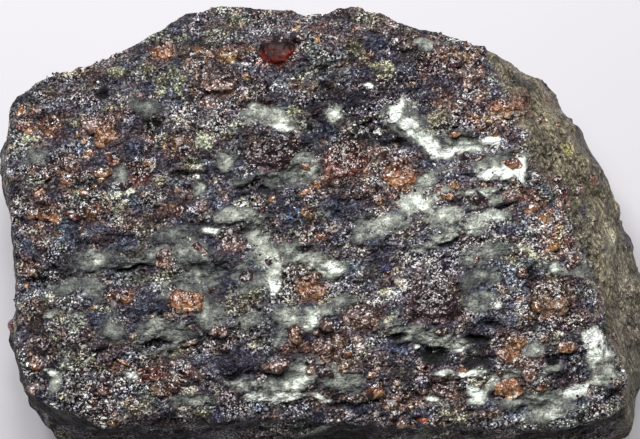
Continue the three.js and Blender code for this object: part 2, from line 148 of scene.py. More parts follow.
# Single grains, the same way but with a colour each: fresh olivine, calcite and dark ore.
GRAINS = [
    (-22.9, 17, 0.8, 0.8, 30, "#8f9052"), (4, 20, 1, 0.9, 0, "#85823c"),
    (4.9, 18.8, 0.9, 0.8, 0, "#96924a"), (7, 17.3, 1.3, 0.9, 0, "#94905a"),
    (-32.6, 9.3, 1, 0.7, 0, "#9aa066"), (-12.8, 9, 1, 0.9, 0, "#98a070"),
    (-17.5, 14.8, 0.6, 0.5, 0, "#8f9460"), (-16.5, 17.5, 0.6, 0.4, -30, "#80825a"),
    (-15.6, 14.9, 0.5, 0.4, 0, "#8a9060"), (-27.5, 11, 0.4, 0.3, 0, "#b0a858"),
    (-33.5, 13, 0.7, 0.8, 30, "#7a7a54"), (-18.7, 5.9, 0.45, 0.4, 0, "#d8cc98"),
    (-13.6, 6.2, 0.4, 0.35, 0, "#d8cc98"), (-13.7, 4.7, 0.4, 0.3, 0, "#e2dc9c"),
    (-20.9, 3.3, 0.6, 0.35, 10, "#dcd89c"), (-22.5, 2.9, 0.4, 0.35, 0, "#e0da9a"),
    (-21.4, 2.1, 0.3, 0.4, 0, "#e6e090"), (-18, 4.5, 0.7, 0.5, 0, "#90865a"),
    (-22, 1.4, 0.8, 0.5, 0, "#7c7c4c"), (-26.5, -6.9, 1.1, 0.8, 0, "#7c8070"),
    (-26.3, -11.5, 1.1, 1.1, 0, "#8f957a"), (-27.7, -16.5, 1, 0.7, 0, "#98a074"),
    (-27.7, -14.7, 0.7, 0.5, 0, "#8f9070"), (-29.3, -8.8, 0.5, 0.7, 0, "#cfc78e"),
    (-24.1, -16.4, 0.4, 0.3, 0, "#c0b050"), (8.8, -7, 0.7, 0.6, 0, "#d0b67c"),
    (6.9, -8, 0.8, 0.5, 0, "#bdb878"), (7, -11.6, 0.5, 0.8, 0, "#b09264"),
    (22.4, -3.3, 0.9, 0.5, -30, "#b6b070"), (23.3, -4, 0.6, 0.4, -20, "#a8a860"),
    (4.2, -13.7, 0.4, 0.9, -10, "#b08c78"), (24.5, 9.3, 0.5, 0.5, 0, "#a8a468"),
    (17, -17.9, 0.8, 0.3, 10, "#b4b070"), (13.7, -21.4, 0.6, 0.5, 0, "#73704a"),
    (-12.6, -21.4, 1.1, 0.5, 10, "#76784e"), (-13.8, -19, 0.7, 0.6, 0, "#a89878"),
    (25.8, -12.7, 0.8, 0.3, -30, "#b8b080"), (-3.3, -4.2, 0.5, 0.3, 20, "#c8b070"),
    (-8, 7.9, 0.6, 0.3, 20, "#d2cc9c"), (-20.3, -12.8, 0.5, 0.3, 0, "#c8a860"),
    (12, -3, 0.5, 0.3, 0, "#d0d2a0"), (-18.5, -17, 0.6, 0.4, 0, "#c8c098"),
    (-16, -17.2, 0.4, 0.25, 0, "#d0c8a0"), (7.2, -5.5, 0.6, 0.3, 0, "#3c3a80"),
    (11, -18, 0.5, 0.4, 0, "#2c2c60"), (24.8, -16, 0.8, 0.5, 0, "#100c1c"),
    (12.3, -15.2, 1.8, 0.7, 5, "#22262a"), (17.3, -15.8, 1.8, 0.5, 0, "#281e26"),
    (9, -13.4, 0.9, 0.6, 0, "#2e3638"), (16.9, -13.2, 1.6, 0.6, 0, "#261c24"),
    (-24.6, 14.9, 0.7, 0.5, 0, "#1c1424"), (29.2, 1.2, 0.8, 0.6, 0, "#2a2230"),
    (22, -6, 0.6, 0.6, 0, "#2c1a18"), (-23.2, -18.6, 0.5, 0.4, 0, "#34181a"),
]
# Parts of the groundmass that are richer in one mineral: x, y, half length, half width, turn.
MINERALS = {
    TALC: [
        (-30.6, 13.2, 2.2, 1.2, 5), (-22.2, 15.2, 2, 1.4, 0), (-26.6, 16, 3, 1.2, 20),
        (-23.8, 18.3, 2.4, 0.9, 25), (-18.2, 18.2, 1.6, 1, 0), (24.8, 5.3, 1.8, 1.6, -20),
    ],
    CHLORITE: [
        (-27, -1.2, 4.5, 1.8, -10), (-22, -3, 3, 1.2, 0), (-25, -5.2, 3.6, 0.9, 0),
        (-31.8, -3.6, 1, 1.6, 0), (-10.2, -6.4, 1.8, 3.4, 5), (-9.2, -16.4, 2.8, 2.2, -10),
        (17.8, -6.4, 3.6, 2.4, 15), (21.4, -0.6, 2.2, 0.8, 5), (19.6, -11.4, 2.4, 1, 0),
        (0.6, 17.2, 2.4, 1.6, 0), (4, 14.2, 1.6, 1, 35), (-10.8, 2.8, 2.4, 1.4, 30),
        (-8.4, 10, 2.2, 1, -10), (2.8, 1.4, 2.4, 1.2, 0), (6.4, -3.6, 1.6, 1.6, 0),
        (20.6, -20.8, 3.4, 1.1, 0), (-14.2, -13.2, 2.4, 1, 10), (-24, -11.2, 1.4, 1, 0),
        (4.4, -20.8, 1.6, 0.8, 0), (0.4, 11, 1.6, 1, 20), (-17.6, -2.2, 2.2, 0.9, 0),
    ],
    IRON_ORE: [
        (-2.2, 9.4, 2.6, 1, 5), (2.4, 4, 1.4, 0.8, 0), (-7, 3.6, 1.6, 0.6, 10), (-28.8, -4.6, 2, 1.2, 0),
        (6.6, 22, 1.6, 1, 0), (11.4, 17.4, 2.2, 1.2, -10), (28.6, -17.9, 1.4, 1, 0),
        (-2.4, -20.8, 2, 0.8, 0), (6.6, 12.4, 2.6, 2.4, 40), (11.6, 14.2, 1.6, 1.4, -20),
        (-6, 15, 2.2, 0.8, 10), (2.4, 16, 2.2, 0.9, 0), (-1.6, 13.6, 2.2, 0.7, -15),
        (4.6, 12.2, 1.6, 1, 30), (-28.4, -6.2, 2.4, 0.8, 10), (-24.6, -2.2, 2, 0.6, 0),
        (11, 16.6, 1.4, 0.8, 0), (-6.2, 4.4, 3.2, 0.8, 10), (2.4, 3.6, 2.4, 0.8, 0), (8.6, 16.4, 1.8, 1, 0),
        (11.6, 18.2, 2.2, 0.9, -10), (-6.6, 7.2, 3, 1.9, 10), (-4.6, 2.8, 3.4, 1.2, 12),
        (-1.8, 8.8, 2.4, 1.8, 20), (-27.6, -4, 3, 1, -5), (-18.8, 10.4, 2.2, 0.9, -15),
        (12, -10.4, 2.8, 1, -5), (16.6, -13.4, 2.6, 0.9, 0), (27.8, -17.2, 1.6, 1.2, 0),
        (-17.4, -17, 2.6, 1, -10), (-28, -20, 2.6, 1.2, -25), (-31, -6.2, 1, 0.8, 0),
        (23.2, -7.2, 1, 1.4, 0), (5.6, -8.6, 1.6, 0.9, 0), (-20.2, 2.8, 1.4, 0.9, 0),
        (-26.4, 4.2, 1.4, 1, 0), (31.6, -20.2, 2, 1.2, 20), (-25.4, 14.4, 1.6, 0.8, 15),
        (10, -16.6, 1.8, 0.8, 0), (11.6, -14.9, 2.4, 0.9, 5), (17.6, -15.6, 2.2, 0.6, 5),
        (29.4, 0.6, 1, 0.9, 0), (9, 8.8, 1.6, 0.8, 0),
    ],
    RUST: [
        (4.4, 6.4, 3.4, 2, 20), (1.2, 4.8, 1.4, 1.2, 0), (7.8, 4.8, 2, 1.3, -20),
        (-33.2, 11.6, 1.2, 2.4, 0), (-24.4, 9.6, 1.8, 2.4, 0), (-30.8, 1.4, 1.4, 2.2, 0),
        (-15.8, 8.2, 1.6, 1.4, 0), (-28.4, 6.4, 1.6, 1.2, 20), (1.8, 22.2, 3, 1, 0),
        (16, 18.8, 2.6, 1, -20), (18.8, 12.2, 2.8, 1.8, 0), (14, 13.4, 1.4, 1.2, 0),
        (25.2, -9, 2.4, 1.8, 0), (25.6, -1.4, 1.4, 2.6, 20), (22.4, 2.6, 2, 0.9, 0),
        (22.6, -16.6, 2.2, 1.8, 0), (8.8, -20, 2.2, 1, 0), (-1.6, -14.4, 3, 1, -10),
        (4.6, -10.4, 1.8, 0.9, 0), (-31.4, -14.6, 1.2, 1.4, 0), (-22.6, -16.2, 1.6, 0.7, 0),
        (-17, 1, 1.6, 0.7, 0), (-32.2, -5.4, 0.9, 1.4, 0),
    ],
    BROWN_MICA: [
        (-12.6, 14.6, 1.8, 3.2, 0), (-27.6, 16.2, 4.4, 0.9, 22), (-19.2, -0.4, 2.8, 1.3, 0),
        (-0.8, -1.8, 2.6, 1.2, 15), (1.2, -8.8, 1.8, 1, 0), (-4.4, -16.2, 2.4, 1, 10),
        (2.8, -15.8, 2.8, 1.4, 0), (-24.6, -18.2, 3, 1.2, 0), (-14.4, -19.4, 3, 0.9, 0),
        (12.6, -18.2, 2.2, 0.9, 0), (6.8, -17.6, 1.6, 1.4, 0), (27.8, -3.8, 1.2, 2.2, 10),
        (-8.4, 22.6, 4.4, 0.8, 0), (8.4, 21.4, 3.2, 1, -18), (18.8, 4.2, 1.8, 0.8, 0),
        (-11.2, -13.8, 1.8, 1, 0), (-32, -11.6, 1, 1.6, 0), (28.4, -11.4, 1.2, 2, 0), (4, 3, 2, 0.9, 0),
    ],
    PALE_MICA: [
        (-28.6, 13.4, 2.4, 1.2, 10), (-23.4, 8.6, 1.6, 1.2, 0), (6.9, 4.4, 1.8, 1, 0),
        (15.6, -4.6, 2.4, 1, 5), (-15.6, -4.6, 1.8, 0.8, 0), (6.8, -8.6, 1.8, 1, 0),
        (-6.8, -13.4, 1.8, 1, 0), (6.6, -13.4, 2, 0.9, 0), (-11.2, -17.6, 2, 1.2, 0),
        (2.4, -17.9, 1.6, 0.8, 0), (24.4, -17.4, 1.6, 1.2, 0), (15.6, 9.4, 1.8, 0.9, 0),
        (28.4, -4.6, 1, 1.8, 0), (-6.8, 22.6, 2.2, 0.8, 0), (2.4, 22.6, 1.6, 0.8, 0),
        (-17, 12.4, 1.6, 1, 0), (12.8, -5.2, 2.6, 1, 10), (-24.4, 8, 2, 1.6, 0), (17.6, 1, 3, 0.8, 8),
        (-3, -17.2, 2.6, 0.8, 0), (14.5, 4.6, 3, 1, 5), (18.8, 3.2, 3, 0.8, 5), (24.2, -17.6, 2, 1, 10),
        (5, -17.2, 2.4, 0.9, 0), (-26, -17.6, 2.4, 1.2, 20), (2.6, -7.6, 1.8, 0.9, 0),
        (-6.5, 21.6, 3.2, 1.2, 0), (-22, 14.6, 2.4, 1.2, 15), (-32.4, -13, 0.9, 1.8, 0),
        (23, -13, 1.4, 0.7, 0), (-23.4, 15.6, 1.6, 0.9, 20), (-4.2, 15.6, 1.2, 0.9, 0),
        (-9.4, 17.6, 2, 1.2, 0), (-18.4, -8.2, 1.6, 0.8, 0), (14.6, -2.4, 1.8, 0.8, 5),
        (12.4, -7.2, 1.4, 0.8, 0), (-26.2, -8.6, 1.4, 0.7, 0), (2.8, -4, 1.4, 0.7, 0),
        (21.4, -9, 1.2, 0.7, 0), (-29, 16, 1.2, 0.6, 20), (6.8, 19.4, 1, 0.7, 0),
    ],
    OLIVE_SERPENTINE: [
        (-20.2, 17.2, 2, 0.8, 10), (-16.6, 16.2, 2, 1, 0), (-32.8, 8.8, 1.2, 1, 0),
        (-25.6, -5.2, 2.2, 1.2, 0), (-28.6, -9.6, 2, 1.6, 0), (-26.4, -14.8, 2, 1.2, 0),
        (-22.6, 2.6, 1.4, 0.8, 0), (-8, -9.6, 1.4, 1.2, 0), (-6.2, -13, 1.8, 1, 0), (6.8, -12, 1.8, 0.8, 0),
        (-12.6, 9.4, 1.2, 0.9, 0), (-14.4, 5.6, 1, 0.8, 0), (13.4, 11.8, 1.2, 1, 0),
        (22.4, 15, 1.6, 1.2, 0), (16.4, -17.2, 2.4, 0.6, 3), (14.2, -20.8, 2, 0.6, 0),
        (-19.6, -20.6, 2.6, 0.7, 0), (-11.6, 21.4, 2.4, 0.9, 0), (24, 7.8, 1.2, 1.4, 0),
        (28.6, -8.2, 0.9, 1.4, 0),
    ],
}
# Stains of the weathered rind, with a colour each.
RIND_ZONES = [
    (27.5, 17.6, 3.4, 1.6, -45, "#2e2931"), (31, 12.4, 3.8, 1.6, -58, "#312b33"),
    (33.8, 6.2, 4.2, 1.5, -66, "#3a343b"), (36.2, -0.4, 4.5, 1.4, -78, "#443e46"),
    (26, 11.4, 1.3, 3.6, 25, "#7d755e"), (30.2, 4.6, 1.4, 4.6, 25, "#746b56"),
    (32, -4.5, 1.4, 5, 12, "#8f866f"), (34.8, -9.5, 1.2, 6, 0, "#80786a"),
    (23.8, 16.4, 1.8, 1.4, -30, "#2c2726"), (22.6, 13.4, 1.3, 1.6, 0, "#6c4a3c"),
    (25.6, 3.6, 1.2, 2.4, 15, "#564842"), (28.4, 8.2, 0.9, 0.5, -40, "#a49c64"),
    (27.2, 14.6, 0.9, 1.8, 40, "#6a5a4e"), (33.6, -2, 0.5, 2.2, 15, "#b0a88e"),
    (31.2, -9.6, 1, 2.4, 10, "#6e6052"), (36, -14, 1.4, 4, 0, "#6a6258"),
    (29.4, 0.8, 0.8, 0.9, 0, "#3a3240"), (35, 1.8, 0.8, 2.4, 20, "#8e866e"),
]
# Slits and pits, under the ledges and between the grains: sunk into the relief and darkened with painted
# shade.
HOLLOWS = [
    (8, 9, 1.5, 0.6, 5), (11.8, -14.9, 2, 0.8, 5), (17.3, -15.3, 1.8, 0.5, 5), (17.4, -13.2, 1.4, 0.4, 0),
    (-20.8, -5.5, 2.2, 0.4, 5), (-15.7, -7.5, 1, 0.4, 20), (-31, -6.6, 1.2, 0.4, 0),
    (-17.8, -13.9, 1.5, 0.5, 0), (-9.6, -17.4, 1.4, 0.5, 10), (23.2, -6.2, 0.7, 0.6, 0),
    (25.1, -15.8, 0.9, 0.6, 0), (32, -19.6, 1.4, 0.6, 20), (2.4, -20.6, 1.8, 0.5, 0), (9.2, -20, 1, 0.4, 0),
    (5.6, -20.3, 0.9, 0.4, 0), (10, 19.6, 0.9, 0.4, 0), (0.5, 15.4, 1.2, 0.5, -20), (5.3, 10.8, 2, 0.4, 30),
    (3.4, 12.7, 0.9, 0.5, 20), (-24.5, 14.5, 1, 0.5, 0), (-18.6, 11.3, 1.3, 0.5, -20),
    (-0.8, 14.6, 0.8, 0.5, 0), (0.3, 17.2, 0.7, 0.5, 0), (-1.8, 8, 1.2, 0.5, 0), (-15.6, 5.2, 1.3, 0.4, 0),
    (-7.6, 3.9, 2, 0.4, 12), (14, -2.7, 1.8, 0.35, 12), (-1.7, -3.2, 1.3, 0.4, 10), (8.2, -13, 1.3, 0.4, 0),
    (13.2, -9.9, 2.2, 0.5, -5), (-28.6, 2.2, 0.8, 0.4, 0), (-30.2, 6.9, 1, 0.3, 0),
    (-13.4, 10.6, 1, 0.35, 0), (18.9, -11.9, 1, 0.4, 0), (-6.4, -12.9, 0.35, 0.35, 0),
    (20.4, 1.7, 1.6, 0.3, 10), (-10.6, -14.8, 1.2, 0.4, 0), (-23.6, -14.6, 1.1, 0.35, 10),
    (4.2, -7, 1, 0.35, 0), (-5.6, 13.4, 1, 0.3, 0),
]
# Wide dark patches, the darkest groundmass and painted shade of troughs, where little light comes back.
SHADED_TROUGHS = [
    (-1.4, 8, 2.2, 1.2, 5), (6.5, 9.4, 2.4, 0.8, 10), (3.3, 13.7, 3, 1.2, 0), (11, 16, 2.6, 1.6, 0),
    (-5.5, 3.3, 4, 0.8, 10), (12.4, -9.6, 3.4, 1.7, 0), (16, -15.6, 3.4, 0.8, 5),
    (26.4, -16.6, 2.2, 1.2, 0), (-27.6, -5.2, 3.4, 1.2, 0), (-8.2, -17.1, 2.6, 1.6, 0),
    (-0.4, 12.4, 1.6, 1.2, 0), (2.2, 0.6, 2.6, 1, 0), (7.2, -4.4, 2, 1, 0), (31.9, -19.3, 1.6, 1, 0),
    (-22, -1.6, 3, 0.9, 0), (2, 3.4, 2.4, 0.7, 5), (6.4, 21.9, 2, 1, 0), (-6.4, 16.6, 2.4, 1, 0),
    (-1.8, -18.9, 1.8, 0.6, 0), (-24.4, -0.4, 2, 1.2, 0), (-14.8, -13.6, 2.4, 0.8, 0),
    (-6.4, -9.6, 1.2, 1.6, 0), (8.8, -13.4, 1.8, 0.8, 0),
]


def lattice_hash(cells, seed):
    """A repeatable random share from 0 to 1 for each cell of a lattice, scattered by primes."""
    mixed = cells[:, 0] * 73856093 ^ cells[:, 1] * 19349663 ^ cells[:, 2] * 83492791 ^ (seed * 2654435761)
    mixed = (mixed ^ (mixed >> 13)) * 1274126177
    mixed = mixed ^ (mixed >> 16)
    return (mixed & 0xFFFFFF) / 0xFFFFFF


def cloud(points, size, seed, unit=MM):
    """Smooth noise from -1 to 1; size is its grain in millimetres, one for all or X, Y and Z."""
    places = points / (np.array(size) * unit) + seed * 7.31
    low = np.floor(places).astype(np.int64)
    part = places - low
    part = part * part * (3 - 2 * part)
    total = np.zeros(len(points))
    for step in np.ndindex(2, 2, 2):
        corner = np.array(step)
        share = np.prod(np.where(corner == 1, part, 1 - part), axis=1)
        total += share * lattice_hash(low + corner, seed)
    return total * 2 - 1


def cells_of(points, size, seed, unit=MM):
    """For the nearest scattered centre: the distance in cells, the height on a plane that it
    tilts its own way, and three random shares from 0 to 1 of its own."""
    places = points / (size * unit)
    low = np.floor(places).astype(np.int64)
    best = np.full(len(points), 9.0)
    offset = np.zeros((len(points), 3))
    nearest = np.zeros((len(points), 3), dtype=np.int64)
    for step in np.ndindex(3, 3, 3):
        cell = low + np.array(step) - 1
        random = np.stack([lattice_hash(cell, seed + k) for k in range(3)], axis=1)
        away = places - cell - random
        distance = np.sqrt((away**2).sum(axis=1))
        nearer = distance < best
        best[nearer] = distance[nearer]
        offset[nearer] = away[nearer]
        nearest[nearer] = cell[nearer]
    shares = np.stack([lattice_hash(nearest, seed + 5 + k) for k in range(3)], axis=1)
    return best, (offset * (shares * 2 - 1)).sum(axis=1), shares


def reach_of(spots, patch):
    """How far a point lies from a patch's middle, as a share of the way to its edge."""
    x, y, half_length, half_width, turn = patch[:5]
    along = spots[:, 0] - x
    across = spots[:, 1] - y
    c, s = math.cos(math.radians(turn)), math.sin(math.radians(turn))
    return np.hypot((along * c + across * s) / half_length, (across * c - along * s) / half_width)


def linear(code):
    """An sRGB hex colour as the linear values that a shader takes, and an alpha of 1."""
    parts = [int(code[i : i + 2], 16) / 255 for i in (1, 3, 5)]
    return (*[p / 12.92 if p <= 0.04045 else ((p + 0.055) / 1.055) ** 2.4 for p in parts], 1.0)


def blend(colours, code, share):
    """Moves the rows of an array of colours towards one colour, each by its own share."""
    colours += (np.array(linear(code)) - colours) * share[:, None]


def copy_of_node(name, piece_name):
    """A new object on a copy of a node's mesh, with the corners of its triangles joined."""
    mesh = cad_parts[name].data.copy()
    piece = bpy.data.objects.new(piece_name, mesh)
    bpy.context.scene.collection.objects.link(piece)
    bpy.ops.object.select_all(action="DESELECT")
    bpy.context.view_layer.objects.active = piece
    piece.select_set(True)
    bpy.ops.object.mode_set(mode="EDIT")
    bpy.ops.mesh.select_all(action="SELECT")
    bpy.ops.mesh.remove_doubles(threshold=0.00001)
    bpy.ops.object.mode_set(mode="OBJECT")
    return piece


def voxel_remesh(piece, grain):
    """Gives the active object one closed skin of even faces."""
    remesh = piece.modifiers.new("remesh", "REMESH")
    remesh.mode = "VOXEL"
    remesh.voxel_size = grain
    bpy.ops.object.modifier_apply(modifier=remesh.name)


def vertex_values(mesh, name):
    values = np.empty(len(mesh.vertices) * 3)
    mesh.vertices.foreach_get(name, values)
    return values.reshape(-1, 3)


def set_points(mesh, points):
    mesh.vertices.foreach_set("co", points.ravel())
    mesh.update()


def add_share(mesh, name, values):
    layer = mesh.attributes.new(name, "FLOAT", "POINT")
    layer.data.foreach_set("value", np.asarray(values, dtype=np.float32))


def add_tint(mesh, colours):
    layer = mesh.attributes.new("tint", "FLOAT_COLOR", "POINT")
    layer.data.foreach_set("color", colours.astype(np.float32).ravel())


def smooth_step(values, low, high):
    part = np.clip((values - low) / (high - low), 0, 1)
    return part * part * (3 - 2 * part)


# The groundmass grips its garnets: a plug under each one closes the gap round it.
garnet_names = sorted(set(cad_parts) - {"kimberlite_matrix"})
matrix = copy_of_node("kimberlite_matrix", "kimberlite")
plugs = []
for name in garnet_names:
    low, high = (Vector(corner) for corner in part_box(name))
    plug = copy_of_node(name, "plug")
    middle = (low + high) / 2
    inward = Vector((0, 0, -1)) if high.z > WALL_TOP else Vector((-middle.x, -middle.y, 0)).normalized()
    around = vertex_values(plug.data, "co") - np.array(middle)
    around *= 1 + PLUG_SWELL / np.linalg.norm(around, axis=1)[:, None]
    set_points(plug.data, around + np.array(middle + inward * PLUG_SINK))
    plugs.append(plug)
bpy.ops.object.select_all(action="DESELECT")
for plug in plugs:
    plug.select_set(True)
matrix.select_set(True)
bpy.context.view_layer.objects.active = matrix
bpy.ops.object.join()
voxel_remesh(matrix, REMESH_GRAIN)

# The broken face is cut finer than the walls and the base.
bpy.ops.object.mode_set(mode="EDIT")
bpy.ops.mesh.select_all(action="DESELECT")
bpy.ops.object.mode_set(mode="OBJECT")
for polygon in matrix.data.polygons:
    polygon.select = polygon.center.z > FACE_FROM and polygon.normal.z > 0.4
bpy.ops.object.mode_set(mode="EDIT")
bpy.ops.mesh.select_mode(type="FACE")
bpy.ops.mesh.subdivide(number_cuts=FACE_CUTS)
bpy.ops.object.mode_set(mode="OBJECT")

mesh = matrix.data
points = vertex_values(mesh, "co")
normals = vertex_values(mesh, "normal")
skewed = points.copy()
skewed[:, 1] -= STRIKE * points[:, 0]
upward = smooth_step(normals[:, 2], 0.15, 0.6) * smooth_step(points[:, 2], 17 * MM, 21 * MM)

# The patches go down into the rock along a steep lean, and their edges are ragged.
spots = (points[:, :2] - np.array(FACE_ORIGIN)) / MM
spots[:, 1] -= (FACE_LEVEL - points[:, 2]) / MM * SEAM_LEAN
ragged = 0.5 * cloud(points, (1, 0.7, 1), 3) + 0.22 * cloud(points, 0.45, 4)
spots[:, 0] += 0.5 * cloud(points, 1.6, 7)
spots[:, 1] += 0.4 * cloud(points, 1.6, 8)


def share_of(patch, fray, low, high):
    """How far each point belongs to a patch with a frayed edge, from 0 to 1."""
    return smooth_step(1 - reach_of(spots, patch) + fray * ragged, low, high)


# Serpentine: how deep inside a patch each point lies, and how pale it is there. On the walls
# and the base it lies in slanted streaks.
field = np.full(len(points), -3.0)
paleness = np.zeros(len(points))
for patch in SERPENTINE:
    inside = (1.25 if patch[5] < 0.6 else 1) - reach_of(spots, patch)
    pull = smooth_step(inside, -0.35, 0.35)
    paleness = np.where(inside > -0.35, paleness + (patch[5] - paleness) * pull, paleness)
    field = np.maximum(field, inside)
slanted = points @ np.array(((0.75, -0.45, 0.48), (0.6, 0.75, -0.23), (-0.26, 0.48, 0.84)))
wild = -0.95 + 1.4 * cloud(slanted, (4, 2.2, 2.6), 31) + 0.9 * cloud(slanted, 1.7, 33)
field = np.where(upward > 0.5, field, wild)
paleness = np.where(upward > 0.5, paleness, 0.4 + 0.4 * cloud(points, 5, 32))
field += ragged
serpentine = smooth_step(field, -0.1, 0.25)

# Colour of the groundmass: clouds, then the patches of single minerals, then single grains.
tint = np.tile(linear(GROUND), (len(points), 1))
for code, size, seed in CLOUDS:
    blend(tint, code, smooth_step(cloud(points, (size, 0.6 * size, size), seed), 0.05, 0.6))
calm_share, ore_share, grain_share = np.zeros((3, len(points)))
for code, patches in MINERALS.items():
    for patch in patches:
        share = share_of(patch, 0.7, -0.35, 0.45) * 0.85 * upward
        blend(tint, code, share)
        calm_share = np.maximum(calm_share, share * CALM.get(code, 0))
        ore_share = np.maximum(ore_share, share if code == IRON_ORE else 0)
for patch in GRAINS:
    share = share_of(patch, 0.6, -0.15, 0.2) * upward
    blend(tint, patch[5], share)
    grain_share = np.maximum(grain_share, share)

# The weathered rind covers the right side, from a line that runs down the face's right edge,
# with points of y and x in millimetres.
RIND_EDGE = [
    (-19, 33.8), (-14, 32.6), (-10, 31.2), (-6, 30), (1, 27.2), (5, 25), (9, 22.9), (15, 21.2), (19, 19.6),
]
edge_y, edge_x = zip(*RIND_EDGE)
past_edge = spots[:, 0] - np.interp(spots[:, 1], edge_y, edge_x)
rind = smooth_step(past_edge + ragged, -0.8, 0.8) * smooth_step(points[:, 0], 15 * MM, 19 * MM)
rind_tint = np.tile(linear(RIND_SKIN), (len(points), 1))
for patch in RIND_ZONES:
    blend(rind_tint, patch[5], share_of(patch, 0.8, -0.4, 0.6) * 0.8)
blotch = cloud(points, 2.2, 18) + 0.5 * cloud(points, 0.8, 19)
rind_tint[:, :3] *= np.exp(0.42 * blotch)[:, None]


def tint_grains(picks, strength):
    """Colours most grains of the groundmass after one mineral each; picks run from 0 to 1."""
    for number, code in enumerate(GRAIN_HUES):
        chosen = (picks >= HUE_STEP * number) & (picks < HUE_STEP * number + HUE_SHARE)
        blend(tint, code, strength * chosen * (1 - grain_share))


# Packed grains: the face is a mass of rounded grains, each with its own shade, and the
# finer crystals between and upon them are tilted each its own way.
pulled = skewed * np.array((0.72, 1.15, 1.0)) + 0.35 * MM * cloud(points, 0.9, 13)[:, None]
distance, _, shares = cells_of(pulled, 1.7, 14)
nodules = 1 - np.minimum(distance / 0.62, 1.3) ** 2
shade = 0.5 * (shares[:, 0] * 2 - 1) + 0.3 * np.clip(nodules, -0.5, 1)
tint_grains(shares[:, 1], 0.36)
distance, height, shares = cells_of(skewed * np.array((0.8, 1.1, 1)), 0.8, 11)
facets = height + 0.6 * (shares[:, 0] - 0.5) - 0.4 * distance
shade += 0.34 * (shares[:, 0] * 2 - 1)
tint_grains(shares[:, 1], 0.15)
_, height, shares = cells_of(skewed, 0.42, 15)
fine_facets = height + 0.7 * (shares[:, 0] - 0.5)
shade += 0.3 * (shares[:, 1] * 2 - 1)
shade -= 1.1 * (shares[:, 0] > 0.9)

# Shades: the tint loses some of its colour, then each grain and ore darkens or lights it, and the troughs
# take painted shade.
grey = tint[:, :3].mean(axis=1, keepdims=True)
tint[:, :3] = np.clip(grey + (tint[:, :3] - grey) * (0.82 - 0.34 * grain_share)[:, None], 0.002, 1)
shade *= (1 - 0.75 * grain_share) * (1 - 0.35 * calm_share + 0.3 * ore_share)
shade -= 0.3 * ore_share
shade += 0.55 * cloud(skewed, (3.2, 1.8, 3.2), 63)
# Painted shade in the troughs, which also dulls their sparkle.
trough_shade = np.max([share_of(patch, 0.6, -0.5, 0.6) for patch in SHADED_TROUGHS], axis=0) * upward
shade -= 0.55 * trough_shade
tint[:, :3] *= np.exp((shade + 0.05)[:, None] * np.array((1.02, 1.1, 0.86)))
right_side = 1 + 0.3 * smooth_step(spots[:, 0], -4, 16)
back_band = 1 - 0.22 * smooth_step(spots[:, 1], 11, 17)
tint[:, :3] *= (right_side * back_band)[:, None]

# Iron from each garnet stains the rock round it.
by_garnet = np.zeros(len(points))
for name in garnet_names:
    low, high = (np.array(corner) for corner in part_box(name))
    away = np.maximum(np.abs(points - (low + high) / 2) - (high - low) / 2 * 0.8, 0)
    by_garnet = np.maximum(by_garnet, 1 - np.linalg.norm(away, axis=1) / STAIN_REACH)
stain = smooth_step(by_garnet + 0.5 * cloud(points, 0.9, 17), 0.1, 1.0)
blend(tint, IRON_STAIN, 0.7 * stain * (1 - grain_share))
# Painted shade: the slits and pits are darkened, except in the rind.
hollow_and_shade = np.max([share_of(patch, 0.5, -0.2, 0.6) for patch in HOLLOWS], axis=0) * upward
tint[:, :3] *= (1 - 0.75 * hollow_and_shade * (1 - rind))[:, None]

# Sparkle: how bare the crystals of the groundmass lie, which sets their gloss and how many painted glints
# show. They show most on the face, less on the other walls and not at all on the front one.
sparkle = cloud(skewed, (1.3, 0.9, 1.3), 61) + 0.7 * cloud(skewed, (3.4, 2.2, 3), 62)
sparkle = 0.1 + 0.9 * smooth_step(sparkle + 0.4 * (shares[:, 2] - 0.5) + 0.5 * ore_share, -0.42, 0.8)
bare = np.maximum(smooth_step(normals[:, 2], 0.05, 0.4), 0.3 * (normals[:, 1] > -0.3))
sparkle *= (1 - 0.85 * calm_share) * (1 - 0.95 * grain_share) * (1 - 0.5 * trough_shade) * bare
tint[:, :3] *= (1.22 - 0.45 * sparkle)[:, None]
# Painted shade: the walls and the base are darkened, the front wall most, as if turned from the light.
shadow_side = 0.3 - 0.18 * smooth_step(-normals[:, 1], 0.2, 0.7)
tint[:, :3] *= (shadow_side + (1 - shadow_side) * smooth_step(normals[:, 2], -0.1, 0.45))[:, None]
tint += (rind_tint - tint) * rind[:, None]

# Distance in from the outline, seen from above, for each bearing, in sectors of two degrees.
bearing = np.degrees(np.arctan2(points[:, 1], points[:, 0])) % 360
radius = np.hypot(points[:, 0], points[:, 1])
reach = np.zeros(SECTORS)
np.maximum.at(reach, (bearing / SECTOR).astype(int), radius)
from_rim = np.interp(bearing, np.arange(SECTORS) * SECTOR + SECTOR / 2, reach, period=360) - radius
inner = smooth_step(from_rim, 0.3 * MM, 2.2 * MM)

# Ledges step up towards the back along the foliation, each with a sharp front edge.
wander = 2.2 * cloud(skewed, (7, 4, 7), 51) + 0.7 * cloud(skewed, (2.4, 1.6, 2.4), 52)
phase = (skewed[:, 1] / LEDGE_STEP + wander) % 1.0
ledge = np.where(phase < LEDGE_FRONT, phase / LEDGE_FRONT, 1 - (phase - LEDGE_FRONT) / (1 - LEDGE_FRONT))
ledge *= smooth_step(cloud(skewed, (4, 2.4, 4), 53), -0.1, 0.6)

